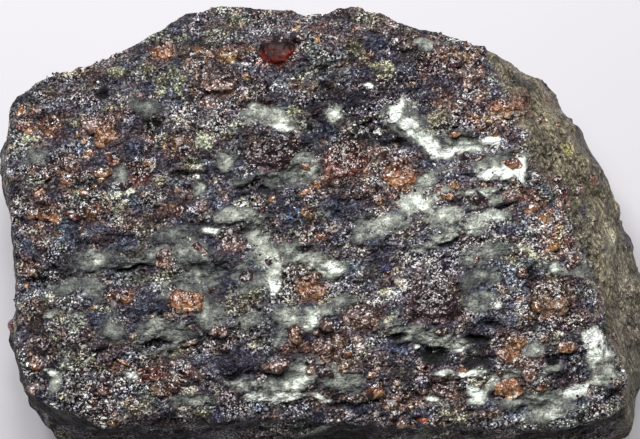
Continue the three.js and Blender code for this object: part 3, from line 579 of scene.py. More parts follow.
# Relief in millimetres, outward: layers, crevices and holes, then grains, facets and pockets.
layers = cloud(skewed, (3.6, 1.7, 2.4), 1)
fine_layers = cloud(skewed, (1.3, 0.8, 1), 2)
crevices = 1 - smooth_step(np.abs(cloud(skewed, (3.2, 1.2, 2), 5)), 0.0, 0.16)
crevices *= smooth_step(cloud(skewed, (4, 3, 4), 6), 0.1, 0.6)
holes = smooth_step(cloud(points, (1.2, 0.8, 0.9), 12), 0.45, 0.8)
hard = 1 - 0.7 * serpentine - 0.4 * grain_share
relief = 0.22 * layers + 0.14 * fine_layers - 0.08 * crevices + 0.12 * ledge
relief = relief - 0.5 * holes * hard - 0.65 * hollow_and_shade
relief += 0.26 * nodules * (1 - 0.5 * serpentine) + (0.2 * facets + 0.14 * fine_facets) * hard
relief -= 0.3 * smooth_step(by_garnet, 0.3, 0.9) * upward
relief += serpentine * (0.1 + 0.18 * cloud(points, (0.6, 0.5, 0.6), 9)) + 0.1 * grain_share
away_from_rim = np.maximum(inner, 1 - upward) * (1 - 0.5 * (upward < 0.5))
relief *= smooth_step(points[:, 2], 0.3 * MM, 2.5 * MM) * (0.3 + 0.7 * away_from_rim)
set_points(mesh, points + normals * (relief * MM)[:, None])

# The serpentine fades out in the slits and pits, as part of their painted shade.
add_share(mesh, "serpentine", field - 1.2 * hollow_and_shade)
add_share(mesh, "paleness", paleness**1.5)
add_share(mesh, "grain", grain_share)
add_share(mesh, "rind", rind)
add_share(mesh, "sparkle", sparkle)
add_tint(mesh, tint)

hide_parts("kimberlite_matrix")
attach(matrix, "root")


def set_sockets(material, node, sockets):
    """Gives each input its value, or links it to an output or to a node's first one in use."""
    for key, value in sockets.items():
        if isinstance(value, bpy.types.Node):
            value = next(output for output in value.outputs if output.enabled)
        if isinstance(value, bpy.types.NodeSocket):
            material.node_tree.links.new(value, node.inputs[key])
        else:
            node.inputs[key].default_value = value


def add_node(material, kind, sockets, **settings):
    """Adds a node with its settings, then sets its inputs."""
    node = material.node_tree.nodes.new("ShaderNode" + kind)
    for key, value in settings.items():
        if key == "stops":
            elements = node.color_ramp.elements
            elements[0].position, elements[0].color = value[0][0], linear(value[0][1])
            elements[-1].position, elements[-1].color = value[-1][0], linear(value[-1][1])
            for position, code in value[1:-1]:
                elements.new(position).color = linear(code)
        else:
            setattr(node, key, value)
    set_sockets(material, node, sockets)
    return node


def new_material(name):
    material = bpy.data.materials.new(name)
    material.use_nodes = True
    return material, material.node_tree.nodes["Principled BSDF"]


# Fresh kimberlite: a dark, dull rock that glitters, partly with painted glint flecks, mottled by soft pale
# bodies.
rock, surface = new_material("fresh kimberlite")
place = add_node(rock, "TexCoord", {}).outputs["Object"]
at = {
    name: add_node(rock, "Attribute", {}, attribute_name=name).outputs["Fac"]
    for name in ("serpentine", "paleness", "grain", "rind", "sparkle")
}
tint_at = add_node(rock, "Attribute", {}, attribute_name="tint")

# Groundmass: interlocked mineral grains of two sizes. Each shades the tint up or down by a power
# of the contrast, dark ones towards violet and light ones towards grey.
COARSE_GRAIN = 0.33 * MM
FINE_GRAIN = 0.16 * MM
CONTRAST = 12.0
MEAN_LIGHT = 2.23
BRIGHTEST = 0.75
DARK_CAST, LIGHT_CAST = (0.51, 0.468, 0.625, 1), (0.51, 0.516, 0.476, 1)
# Colour of the painted glints.
PAINTED_GLINT = "#eceaee"
coarse = add_node(rock, "TexVoronoi", {"Vector": place, "Scale": 1 / COARSE_GRAIN})
fine = add_node(rock, "TexVoronoi", {"Vector": place, "Scale": 1 / FINE_GRAIN})
coarse_mix = add_node(rock, "SeparateColor", {"Color": coarse.outputs["Color"]})
fine_mix = add_node(rock, "SeparateColor", {"Color": fine.outputs["Color"]})
light = add_node(
    rock, "Math", {0: fine_mix.outputs["Red"], 1: 3.4, 2: coarse_mix.outputs["Red"]},
    operation="MULTIPLY_ADD",
)
depth = add_node(rock, "MapRange", {"Value": at["sparkle"], "To Min": 0.34, "To Max": 0.97})
swing = add_node(rock, "Math", {0: light, 1: -MEAN_LIGHT}, operation="ADD")
swing = add_node(rock, "Math", {0: swing, 1: depth}, operation="MULTIPLY")
strength = add_node(rock, "Math", {0: CONTRAST, 1: swing}, operation="POWER")
ground = add_node(rock, "VectorMath", {0: tint_at, "Scale": strength}, operation="SCALE")
cast = add_node(rock, "MapRange", {"Value": swing, "From Min": -0.8, "From Max": 0.8})
cast = add_node(rock, "Mix", {0: cast, 6: DARK_CAST, 7: LIGHT_CAST}, data_type="RGBA")
ground = add_node(rock, "VectorMath", {0: ground, 1: cast}, operation="MULTIPLY")
ground = add_node(rock, "VectorMath", {0: ground, 1: (BRIGHTEST,) * 3}, operation="MINIMUM")

# Painted glints: a few of the fine grains are white flecks, and fine arcs along the rims of crystals are
# painted highlights.
painted_glint = add_node(
    rock, "MapRange", {"Value": fine_mix.outputs["Green"], "From Min": 0.925, "From Max": 0.985}
)
weave = add_node(rock, "TexNoise", {"Vector": place, "Scale": 1 / (0.5 * MM), "Detail": 2.0})
bent = add_node(
    rock, "VectorMath", {0: weave.outputs["Color"], 1: (0.6 * MM,) * 3, 2: place}, operation="MULTIPLY_ADD"
)
rims = add_node(rock, "TexVoronoi", {"Vector": bent, "Scale": 1 / (0.6 * MM)}, feature="DISTANCE_TO_EDGE")
glint_arc = add_node(rock, "MapRange", {"Value": rims, "From Min": 0.14, "From Max": 0.05})
broken = add_node(rock, "MapRange", {"Value": weave, "From Min": 0.5, "From Max": 0.56})
glint_arc = add_node(rock, "Math", {0: glint_arc, 1: broken}, operation="MULTIPLY")
faint = add_node(rock, "MapRange", {"Value": coarse_mix.outputs["Green"], "From Min": 0.3, "To Max": 0.75})
glint_arc = add_node(rock, "Math", {0: glint_arc, 1: faint}, operation="MULTIPLY")
painted_glint = add_node(rock, "Math", {0: painted_glint, 1: glint_arc}, operation="MAXIMUM")
crowd = add_node(rock, "MapRange", {"Value": at["sparkle"], "From Min": 0.2, "From Max": 0.85})
painted_glint = add_node(rock, "Math", {0: painted_glint, 1: crowd}, operation="MULTIPLY")
plain = add_node(rock, "Math", {0: 1.0, 1: at["grain"]}, operation="SUBTRACT")
painted_glint = add_node(rock, "Math", {0: painted_glint, 1: plain}, operation="MULTIPLY")
ground = add_node(rock, "Mix", {0: painted_glint, 6: ground, 7: linear(PAINTED_GLINT)}, data_type="RGBA")

# Serpentine: soft grey-green bodies that fade into the groundmass, milky towards their cores.
cloudy = add_node(
    rock, "TexNoise", {"Vector": place, "Scale": 1 / (0.9 * MM), "Detail": 5.0, "Distortion": 0.6}
)
sugar = add_node(rock, "TexNoise", {"Vector": place, "Scale": 1 / (0.22 * MM), "Detail": 2.0})
milk = add_node(rock, "Math", {0: at["paleness"], 1: 0.75, 2: cloudy}, operation="MULTIPLY_ADD")
milk = add_node(rock, "Math", {0: at["serpentine"], 1: 0.2, 2: milk}, operation="MULTIPLY_ADD")
milk = add_node(rock, "Math", {0: sugar, 1: 0.5, 2: milk}, operation="MULTIPLY_ADD")
milk = add_node(rock, "MapRange", {"Value": milk, "From Min": 0.7, "From Max": 1.62})
stone = add_node(
    rock, "ValToRGB", {"Fac": milk},
    stops=[
        (0.05, "#36383a"), (0.3, "#5e615e"), (0.5, "#888b82"), (0.68, "#b0b4a9"), (0.78, "#d8e0d6"),
        (1.0, "#f8faf6"),
    ],
)
ruffle = add_node(rock, "TexNoise", {"Vector": place, "Scale": 1 / (0.35 * MM), "Detail": 4.0})
rough_edge = add_node(rock, "Math", {0: ruffle, 1: 1.3, 2: at["serpentine"]}, operation="MULTIPLY_ADD")
rough_edge = add_node(
    rock, "Math", {0: coarse_mix.outputs["Green"], 1: -0.4, 2: rough_edge}, operation="MULTIPLY_ADD"
)
body = add_node(rock, "MapRange", {"Value": rough_edge, "From Min": 0.25, "From Max": 0.8})
colour = add_node(rock, "Mix", {0: body, 6: ground, 7: stone}, data_type="RGBA")

# Rind: olive and grey weathering skin, in streaks that run along the outline of the stone.
STREAK_TURN = math.radians(-61)
STREAK_STRETCH = 4
BRISTLE = 0.16 * MM
along = add_node(
    rock, "Mapping",
    {"Vector": place, "Rotation": (0, 0, STREAK_TURN), "Scale": (STREAK_STRETCH, 1, 1)},
    vector_type="TEXTURE",
)
streak = add_node(rock, "TexNoise", {"Vector": along, "Scale": 1 / (0.3 * MM), "Detail": 4.0})
brush = add_node(
    rock, "MapRange", {"Value": streak, "From Min": 0.3, "From Max": 0.7, "To Min": 0.3, "To Max": 1.9}
)
skin = add_node(rock, "VectorMath", {0: tint_at, "Scale": brush}, operation="SCALE")
bristles = add_node(rock, "TexVoronoi", {"Vector": along, "Scale": 1 / BRISTLE})
bristle = add_node(rock, "SeparateColor", {"Color": bristles.outputs["Color"]})
bristle = add_node(
    rock, "Math", {0: fine_mix.outputs["Blue"], 1: 0.55, 2: bristle.outputs["Red"]},
    operation="MULTIPLY_ADD",
)
bristle = add_node(rock, "Math", {0: bristle, 1: -0.78}, operation="ADD")
bristle = add_node(rock, "Math", {0: 4.0, 1: bristle}, operation="POWER")
skin = add_node(rock, "VectorMath", {0: skin, "Scale": bristle}, operation="SCALE")
skin = add_node(rock, "VectorMath", {0: skin, 1: (0.7, 0.7, 0.68)}, operation="MINIMUM")
colour = add_node(rock, "Mix", {0: at["rind"], 6: colour, 7: skin}, data_type="RGBA")

# Cleavage faces: little glossy crystals tilted each its own way, over a finely rippled surface.
SHARD = 0.24 * MM
TILT = 0.63
shards = add_node(rock, "TexVoronoi", {"Vector": place, "Scale": 1 / SHARD})
tilt = add_node(
    rock, "VectorMath", {0: shards.outputs["Color"], 1: (2 * TILT,) * 3, 2: (-TILT,) * 3},
    operation="MULTIPLY_ADD",
)
calm = add_node(rock, "MapRange", {"Value": body, "To Min": 1.0, "To Max": 0.35})
calm = add_node(rock, "Math", {0: calm, 1: depth}, operation="MULTIPLY")
tilt = add_node(rock, "VectorMath", {0: tilt, "Scale": calm}, operation="SCALE")
ripple = add_node(
    rock, "TexNoise", {"Vector": place, "Scale": 1 / (0.4 * MM), "Detail": 3.0, "Roughness": 0.65}
)
bump = add_node(rock, "Bump", {"Height": ripple, "Strength": 1.0, "Distance": 0.5 * MM})
tilted = add_node(rock, "VectorMath", {0: bump, 1: tilt}, operation="ADD")
unit = add_node(rock, "VectorMath", {0: tilted}, operation="NORMALIZE")
gloss = add_node(rock, "MapRange", {"Value": coarse_mix.outputs["Blue"], "To Min": 0.05, "To Max": 0.3})
dull = add_node(rock, "Mix", {0: at["sparkle"], 2: 0.8, 3: gloss})
set_sockets(rock, surface, {"Base Color": colour, "Normal": unit, "Roughness": dull})
set_sockets(rock, surface, {"IOR": 1.56, "Specular IOR Level": 0.25})
mesh.materials.clear()
mesh.materials.append(rock)

# ---- Garnets ------------------------------------------------------------------------------
# Pyrope grains held in their own pockets: glassy red, orange or amber where fresh, and brown
# and crumbly where the hot magma changed them to kelyphite. All are cracked through.

# Each tone: cracks and rims, body, lit depths and bright flecks (both partly painted glow), grain
# in mm, crumbly share, clear share. A crumbly share under 0 stands for a tight, unaltered grain.
TONES = {
    "deep red": ("#1c0a0a", "#461612", "#702418", "#a05040", 1.1, -0.15, 0.1),
    "amber": ("#2a1a14", "#6c4a34", "#b4864a", "#ecd0a0", 0.7, 0.08, 0.25),
    "orange": ("#281611", "#6c4634", "#a8744c", "#ecc8a8", 0.7, 0.1, 0.2),
    "fire orange": ("#5a1c08", "#a83c10", "#dc6a20", "#f8c090", 0.8, 0.0, 0.3),
    "flame": ("#34190f", "#86583e", "#c08a5c", "#f6e4d0", 0.6, 0.2, 0.2),
    "rose brown": ("#241a1b", "#56423e", "#866658", "#ccaa98", 0.5, 0.3, 0.05),
    "maroon": ("#181014", "#2e2226", "#463438", "#7e6a74", 0.5, 0.2, 0.05),
    "plum": ("#1a0e15", "#301e28", "#4a2c36", "#7c606a", 0.9, 0.1, 0.15),
    "kelyphite": ("#221813", "#54463c", "#8e7058", "#dcbc9c", 1.0, 0.15, 0.15),
    "dark red": ("#1c1010", "#482a26", "#804e42", "#bc968c", 0.7, 0.12, 0.2),
}
TONE_OF = {
    "01": "flame", "02": "amber", "03": "deep red", "04": "plum", "05": "rose brown", "06": "rose brown",
    "07": "flame", "08": "orange", "09": "flame", "10": "amber", "11": "maroon", "12": "dark red",
    "13": "flame", "14": "orange", "15": "orange", "16": "dark red", "17": "orange", "18": "amber",
    "19": "rose brown", "20": "rose brown", "21": "flame", "22": "orange", "23": "flame",
    "24": "rose brown", "25": "maroon", "26": "kelyphite", "27": "rose brown", "28": "amber",
    "29": "dark red", "30": "flame", "31": "maroon", "32": "rose brown",
}
WALL_TONES = ("dark red", "orange", "kelyphite")
LAST_ON_FACE = 32
# From which share of the tiny grains upward one shows a painted glint; dark tones show the fewest.
GLINT = {"deep red": 0.96, "plum": 0.9, "maroon": 0.9}
COMMON_GLINT = 0.82
PAINTED_SPARK = "#f0dcd4"
GRIT = 0.15 * MM
GARNET_MESH = 0.2 * MM


def garnet_material(tone):
    """Pyrope of one tone: glossy, with a painted inner glow and painted glints where fresh, grainy and dull
    at its rim.
    """
    dark, body_colour, lit, bright, grain, crumbly, clear = TONES[tone]
    deep = tone == "deep red"
    material, shader = new_material("pyrope garnet, " + tone)
    spot = add_node(material, "TexCoord", {}).outputs["Object"]
    thin = add_node(material, "Attribute", {}, attribute_name="thin").outputs["Fac"]
    crust = add_node(material, "Attribute", {}, attribute_name="crust").outputs["Fac"]

    # Colour: dark in the cracks, with a painted glow towards the front and low down, as if light came
    # through the grain, and a few painted glints.
    chips = add_node(material, "TexVoronoi", {"Vector": spot, "Scale": 1 / (grain * MM)})
    chip = add_node(material, "SeparateColor", {"Color": chips.outputs["Color"]})
    grains = add_node(material, "TexVoronoi", {"Vector": spot, "Scale": 1 / GRIT})
    grit = add_node(material, "SeparateColor", {"Color": grains.outputs["Color"]})
    depth = add_node(material, "TexNoise", {"Vector": spot, "Scale": 1 / (1.1 * MM), "Detail": 4.0})
    level = add_node(material, "Math", {0: thin, 1: 0.85, 2: depth}, operation="MULTIPLY_ADD")
    level = add_node(
        material, "Math", {0: chip.outputs["Red"], 1: 0.28, 2: level}, operation="MULTIPLY_ADD"
    )
    level = add_node(
        material, "Math", {0: grit.outputs["Red"], 1: 0.14 + 0.8 * crumbly, 2: level},
        operation="MULTIPLY_ADD",
    )
    level = add_node(
        material, "MapRange", {"Value": level, "From Min": 0.68, "From Max": 1.58 + 0.55 * crumbly}
    )
    shade = add_node(
        material, "ValToRGB", {"Fac": level},
        stops=[(0.08, dark), (0.4, body_colour), (0.75, lit), (1.0, bright)],
    )
    wavy = add_node(
        material, "VectorMath", {0: depth.outputs["Color"], 1: (0.8 * MM,) * 3, 2: spot},
        operation="MULTIPLY_ADD",
    )
    seams = add_node(
        material, "TexVoronoi", {"Vector": wavy, "Scale": 1 / (1.5 * MM)}, feature="DISTANCE_TO_EDGE"
    )
    seam = add_node(material, "MapRange", {"Value": seams, "From Min": 0.0, "From Max": 0.06})
    shade = add_node(material, "Mix", {0: seam, 6: linear(dark), 7: shade}, data_type="RGBA")
    glint = GLINT.get(tone, COMMON_GLINT)
    # Painted glints: a few tiny grains are light flecks, more towards the rim.
    painted_spark = add_node(
        material, "MapRange", {"Value": grit.outputs["Blue"], "From Min": glint, "From Max": glint + 0.09}
    )
    edge = add_node(material, "MapRange", {"Value": crust, "To Min": 0.4 + 0.8 * crumbly, "To Max": 0.85})
    painted_spark = add_node(material, "Math", {0: painted_spark, 1: edge}, operation="MULTIPLY")
    shade = add_node(material, "Mix", {0: painted_spark, 6: shade, 7: linear(PAINTED_SPARK)}, data_type="RGBA")
    cover = add_node(
        material, "MapRange", {"Value": crust, "From Min": 0.3, "To Max": min(1.0, 0.4 + 2 * crumbly)}
    )
    dirt = add_node(
        material, "ValToRGB", {"Fac": grit.outputs["Green"]},
        stops=[(0.0, "#332d30"), (0.6, "#50474a"), (0.85, "#6c6162"), (1.0, "#a09a9e")],
    )
    shade = add_node(material, "Mix", {0: cover, 6: shade, 7: dirt}, data_type="RGBA")

    # Surface: curved chips tilted each its own way, over fine ripples.
    tilts = add_node(material, "TexVoronoi", {"Vector": spot, "Scale": 1 / ((0.55 - 0.6 * crumbly) * MM)})
    span, start = (0.35 + 1.6 * crumbly,) * 3, (-0.18 - 0.8 * crumbly,) * 3
    lean = add_node(
        material, "VectorMath", {0: tilts.outputs["Color"], 1: span, 2: start}, operation="MULTIPLY_ADD"
    )
    ripple = add_node(material, "TexNoise", {"Vector": spot, "Scale": 1 / (0.6 * MM), "Detail": 1.5})
    bump_height = (0.12 + 0.4 * max(crumbly, -0.1)) * MM
    bump = add_node(material, "Bump", {"Height": ripple, "Distance": bump_height})
    lean = add_node(material, "VectorMath", {0: bump, 1: lean}, operation="ADD")
    lean = add_node(material, "VectorMath", {0: lean}, operation="NORMALIZE")
    smoothest = 0.5 if deep else 0.06 + 0.6 * max(crumbly, 0)
    roughest = 0.22 + 2.5 * crumbly**2 + 0.3 * deep
    polish = add_node(
        material, "MapRange", {"Value": chip.outputs["Blue"], "To Min": smoothest, "To Max": roughest}
    )
    set_sockets(material, shader, {"Base Color": shade, "Normal": lean, "Roughness": polish})
    shine = 0.05 if deep else 0.3
    set_sockets(material, shader, {"Transmission Weight": clear, "IOR": 1.74, "Specular IOR Level": shine})
    return material


def painted_glow(local):
    """Painted glow, as if light came through a grain: most at the front and low down, from 0 to 1."""
    return np.clip(0.5 - 0.5 * local[:, 1] - 0.25 * local[:, 2], 0, 1)


garnets = {tone: garnet_material(tone) for tone in TONES}
for name in garnet_names:
    number = name[-2:]
    on_face = int(number) <= LAST_ON_FACE
    low, high = (np.array(corner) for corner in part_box(name))
    grain = copy_of_node(name, name + "_crystal")
    voxel_remesh(grain, GARNET_MESH)
    where = vertex_values(grain.data, "co")
    facing = vertex_values(grain.data, "normal")
    local = (where - (low + high) / 2) / (high - low) * 2
    tone = TONE_OF.get(number) or WALL_TONES[int(number) % 3]

    # The grain swells to the wall of its pocket, and its surface breaks into curved chips.
    sideways = 1 - np.abs(facing[:, 2])
    swell = 0.25 * sideways - 0.02 * smooth_step(facing[:, 2], 0.4, 0.9)
    broken = 0.3 if tone == "deep red" else 0.7
    swell += 0.45 * sideways * cloud(where, 1.1, 71) + 0.22 * broken * cloud(where, 0.9, 72)
    distance, height, shares = cells_of(where, 0.9, 73)
    swell += broken * (0.3 * height + 0.16 * (shares[:, 0] - 0.5) - 0.12 * distance)
    edge = np.hypot(local[:, 0], local[:, 1]) + 0.35 * cloud(where, 0.8, 74)
    swell -= 0.25 * smooth_step(edge, 0.7, 1.05) * np.maximum(facing[:, 2], 0)
    swell *= 1 if on_face else 0.5
    set_points(grain.data, where + facing * (swell * MM)[:, None])
    # Painted glow towards the front and low down, and the crust of the rim.
    add_share(grain.data, "thin", painted_glow(local))
    add_share(grain.data, "crust", smooth_step(edge, 0.92, 1.2) if on_face else np.zeros(len(where)))
    grain.data.materials.clear()
    grain.data.materials.append(garnets[tone])
    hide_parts(name)
    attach(grain, "root")

# ---- Small garnets ------------------------------------------------------------------------
# The many smaller garnets, of about 0.7 to 3 mm and most of them under 2 mm, bedded in the
# surface of the same rock. They are densest at the left side and along the right edge of the face.

# HALF is half a grain's size for each millimetre of it that shows, since part of it is sunk.
TYPICAL_LEVEL = 25 * MM
OVER_STONE = 50 * MM
STEEPEST = 0.2
HALF = 0.6 * MM
FLATNESS = 0.58
BEDDED = 0.36

# Single ones, in millimetres: x, y, length and width of what shows, tone.
SMALL_GARNETS = [
    (-27.1, 10.2, 0.8, 0.8, "amber"), (-12.9, 18.6, 0.7, 0.8, "orange"), (-8, 16.2, 1.4, 0.8, "amber"),
    (-12.7, 16.4, 1.8, 2, "rose brown"), (-12, 13, 2.2, 2, "rose brown"), (-25.7, 8, 1.3, 1, "orange"),
    (-28, 6.4, 1.6, 1.8, "rose brown"), (-28, 4.3, 1, 0.9, "flame"), (-22.5, 6.8, 1.2, 1, "orange"),
    (-19.8, 5.9, 1.4, 0.9, "plum"), (-19.6, 4.6, 1.6, 1.1, "dark red"), (-31.2, 3.3, 1.3, 1.1, "orange"),
    (-30.7, 2.4, 0.9, 0.9, "rose brown"), (-31.9, 1, 1.2, 1.2, "orange"),
    (-30.9, -0.4, 1.1, 1.8, "rose brown"), (-27.6, 1.2, 1.3, 0.8, "amber"), (-26, 3, 1.2, 0.8, "orange"),
    (-25.2, 1.1, 1.9, 1.4, "orange"), (-24.9, 3.7, 0.6, 0.5, "amber"), (-15.3, 0.6, 1.3, 1.5, "dark red"),
    (-12.9, 1, 1.1, 1.4, "rose brown"), (-15.3, 8.1, 1.3, 1.2, "orange"),
    (-31.6, 11.6, 1.6, 1.4, "dark red"), (-32.8, 11, 1.2, 1.2, "orange"), (-33.9, 13.2, 0.9, 1.8, "flame"),
    (-30.6, 10.3, 0.9, 0.8, "orange"), (-24.3, 9.2, 1.6, 1.2, "flame"),
    (-31.7, -5.4, 1.3, 1.6, "kelyphite"), (-32.3, -7.1, 0.9, 0.7, "flame"), (-24.4, -10, 1, 0.6, "amber"),
    (-31.2, -16, 1.2, 0.9, "orange"), (-21.2, -15.9, 1.5, 0.5, "orange"),
    (-31, -18.4, 1.8, 1.2, "rose brown"), (-16.1, -18.5, 1.6, 1.2, "dark red"),
    (-22.5, -22.2, 0.9, 0.7, "amber"), (-1.5, 3, 1.5, 0.7, "flame"), (-1.2, 0.3, 1.4, 1.6, "amber"),
    (-5, 2, 1.3, 0.8, "amber"), (6.4, 2, 1.2, 1.2, "orange"), (-2.7, -12.9, 1.4, 2.2, "amber"),
    (7.3, -6.4, 1.2, 0.6, "dark red"), (5.3, -10.8, 1.4, 1.6, "orange"),
    (-4.5, -16.4, 2.4, 1.6, "rose brown"), (2.6, -15.4, 2.4, 1.6, "kelyphite"),
    (11.5, -21.9, 1.9, 1, "fire orange"), (7.6, -20.5, 1.9, 1.6, "kelyphite"),
    (11.2, -20.6, 1.4, 1.2, "rose brown"), (0.6, 4.6, 1.6, 1.3, "amber"), (-0.4, 3.8, 1.2, 1, "flame"),
    (1.9, 3.9, 1.1, 0.9, "kelyphite"), (10.5, 15.6, 1.3, 1.3, "orange"), (13, 14.6, 1.2, 0.8, "amber"),
    (17.5, 11.6, 1.3, 0.8, "amber"), (17.4, 10.1, 2.4, 0.7, "orange"), (15, 9.3, 1.2, 0.7, "flame"),
    (17.6, 6.2, 1.4, 1, "kelyphite"), (16.3, 6.7, 1.3, 1.3, "maroon"), (14.8, 3.6, 1.3, 1.2, "amber"),
    (14.1, 2.3, 1.4, 0.9, "orange"), (21.2, 3.9, 0.9, 0.5, "amber"), (23.4, 1.3, 1.7, 1.2, "orange"),
    (26.6, 1.8, 0.9, 1.6, "rose brown"), (24.9, 0.2, 1.2, 1.4, "amber"), (25.6, -2.9, 1.2, 1.6, "amber"),
    (27.3, -2.6, 1, 1.2, "dark red"), (27.9, -4.6, 1.4, 1, "rose brown"), (23.6, -9.8, 1.3, 1.5, "amber"),
    (26.3, -12.2, 2.2, 1.4, "plum"), (26.6, -14.2, 2, 1.6, "orange"), (23.9, -18.3, 1.5, 1.3, "orange"),
    (13.2, -12.7, 1.6, 0.8, "kelyphite"), (27.4, 12.6, 0.8, 0.8, "flame"),
    (24.7, 12.4, 1, 0.9, "rose brown"), (18.2, 17.8, 1.1, 1, "orange"), (16.9, 20.2, 1.1, 0.8, "orange"),
    (4.1, 22, 1.1, 0.9, "flame"), (8, 23, 1.4, 1, "rose brown"), (10.6, 21.3, 1, 0.7, "amber"),
    (22, -6.2, 1, 1.2, "dark red"), (-14, -13.6, 1.8, 0.7, "kelyphite"),
    (-23.2, -18.6, 0.9, 0.8, "dark red"),
]
# Swarms of others, in millimetres: x, y, half length and half width of the swarm, how many, tones.
SWARMS = [
    (-28, 3, 5, 5, 25, ("orange", "amber", "dark red", "maroon", "amber")),
    (-24, 9.5, 3, 3, 8, ("orange", "rose brown", "flame")),
    (-31.5, 11.5, 2.5, 3, 8, ("orange", "dark red", "rose brown")),
    (-16.5, 8, 3.5, 2.5, 8, ("orange", "maroon", "rose brown")),
    (-20, -18.5, 8, 3, 13, ("rose brown", "maroon", "dark red", "kelyphite")),
    (4, 5.5, 6, 3, 9, ("kelyphite", "orange", "rose brown")),
    (1, -14.5, 6, 2.5, 6, ("rose brown", "kelyphite", "maroon")),
    (9, -19.5, 4, 3, 7, ("rose brown", "maroon", "kelyphite")),
    (26.5, -1, 2, 5, 13, ("rose brown", "dark red", "orange")),
    (25, -10, 3.5, 3, 8, ("kelyphite", "amber", "maroon")),
    (22, -16.5, 3, 3, 9, ("flame", "orange", "rose brown")),
    (18, 12.5, 4, 3.5, 8, ("rose brown", "maroon", "amber")),
    (13, 19.5, 6, 2, 9, ("rose brown", "orange", "plum")),
    (-5, 20, 9, 2.5, 9, ("rose brown", "amber", "maroon")),
    (-12, 14.5, 2.5, 3.5, 7, ("rose brown", "orange", "maroon")),
    (0, 0, 30, 20, 40, ("maroon", "rose brown", "dark red", "orange", "kelyphite")),
]


def ball_of(subdivisions):
    """The corners and triangles of a ball of radius 1."""
    bpy.ops.object.select_all(action="DESELECT")
    bpy.ops.mesh.primitive_ico_sphere_add(subdivisions=subdivisions, radius=1)
    ball = bpy.context.object
    corners = vertex_values(ball.data, "co")
    triangles = np.array([list(polygon.vertices) for polygon in ball.data.polygons])
    bpy.data.objects.remove(ball)
    return corners, triangles


pebble_points, pebble_faces = ball_of(2)
random = np.random.default_rng(5)
wanted = list(SMALL_GARNETS)
for x, y, half_length, half_width, count, tones in SWARMS:
    for _ in range(count):
        angle, share = random.uniform(0, 2 * math.pi), math.sqrt(random.random())
        size = float(np.clip(random.lognormal(0.0, 0.3), 0.55, 1.8))
        place_x = x + half_length * share * math.cos(angle)
        place_y = y + half_width * share * math.sin(angle)
        length = size * random.uniform(0.9, 1.5)
        wanted.append((place_x, place_y, length, size, tones[random.integers(len(tones))]))

rock_tree = BVHTree.FromObject(matrix, bpy.context.evaluated_depsgraph_get())
tone_names = list(TONES)
placed, all_points, all_faces, all_tones, all_glow, all_crust = [], [], [], [], [], []
count = 0
lean = (FACE_LEVEL - TYPICAL_LEVEL) * SEAM_LEAN
for x, y, length, width, tone in wanted:
    above = Vector((FACE_ORIGIN[0] + x * MM, FACE_ORIGIN[1] + y * MM + lean, OVER_STONE))
    seat, upright, _, _ = rock_tree.ray_cast(above, Vector((0, 0, -1)))
    if seat is None or upright.z < STEEPEST or seat.z < FACE_FROM:
        continue
    halves = np.array((length, width, FLATNESS * width)) * HALF
    drawn = pebble_points + 3 * count
    lumps = 0.34 * cloud(drawn, 0.9, 81, 1) + 0.12 * cloud(pebble_points + count, 0.4, 82, 1)
    distance, height, shares = cells_of(drawn, 0.8, 83, 1)
    lumps += 0.4 * height + 0.2 * (shares[:, 0] - 0.5) - 0.1 * distance
    angle = random.uniform(-0.5, 0.5)
    c, s = math.cos(angle), math.sin(angle)
    spin = np.array(((c, -s, 0), (s, c, 0), (0, 0, 1)))
    shape = (pebble_points * (1 + lumps)[:, None] * halves) @ spin.T
    placed.append((seat.x, seat.y, max(halves)))
    all_points.append(shape + np.array(seat) - np.array((0, 0, BEDDED * halves[2])))
    all_faces.append(pebble_faces + count * len(pebble_points))
    all_tones.append(np.full(len(pebble_faces), tone_names.index(tone)))
    # Painted glow, as on the large grains.
    all_glow.append(painted_glow(pebble_points))
    all_crust.append(smooth_step(np.hypot(pebble_points[:, 0], pebble_points[:, 1]) + lumps, 0.74, 1.1))
    count += 1
small = bpy.data.objects.new("small_garnets", bpy.data.meshes.new("small_garnets"))
small.data.from_pydata(np.concatenate(all_points), [], np.concatenate(all_faces).tolist())
for tone in tone_names:
    small.data.materials.append(garnets[tone])
small.data.polygons.foreach_set("material_index", np.concatenate(all_tones).astype(np.int32))
small.data.polygons.foreach_set("use_smooth", np.ones(len(small.data.polygons), dtype=bool))
add_share(small.data, "thin", np.concatenate(all_glow))
add_share(small.data, "crust", np.concatenate(all_crust))
bpy.context.scene.collection.objects.link(small)
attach(small, "root")

# ---- Groundmass crystals ------------------------------------------------------------------
# Little crystals of mica, calcite and iron ore stand out of the broken groundmass. They grew
# in it as it cooled, and each breaks along flat faces that flash as the stone is turned.

CRYSTAL_COUNT = 9000
CRYSTAL_HALF = 0.075 * MM
CRYSTAL_SINK = 0.3
JITTER = 0.28
CLUSTER_HALF = 0.7
CALCITE_AND_GLINT = "#e8e6e6"
# Clusters of pale crystals as painted glints, x and y in millimetres on the face.
GLINT_CLUSTERS = [
    (-4.8, 15.5), (1, 17), (-29.2, 0.4), (-25, 15.8), (10.9, -17.9), (-24.2, -18.2), (-5.8, -1.2),
    (4.3, 2.8), (8.3, 20.7), (9.3, 20), (-26.5, -19.2), (7.8, 19.7), (7.2, 21.9), (5.2, 14.7), (6.6, 9.9),
    (13, -7.5), (19.2, -9.4), (-8.6, 18), (-11.4, 16.2), (-26.2, 8.8), (-18, 10), (-14.6, 12.4), (20, 12),
    (14.6, 6.4), (23.6, -17), (-20.4, -16.4), (-6.4, -17.6), (9.6, 5), (-13.8, 19.6), (16, 17.4),
]

pattern_points, pattern_faces = ball_of(1)


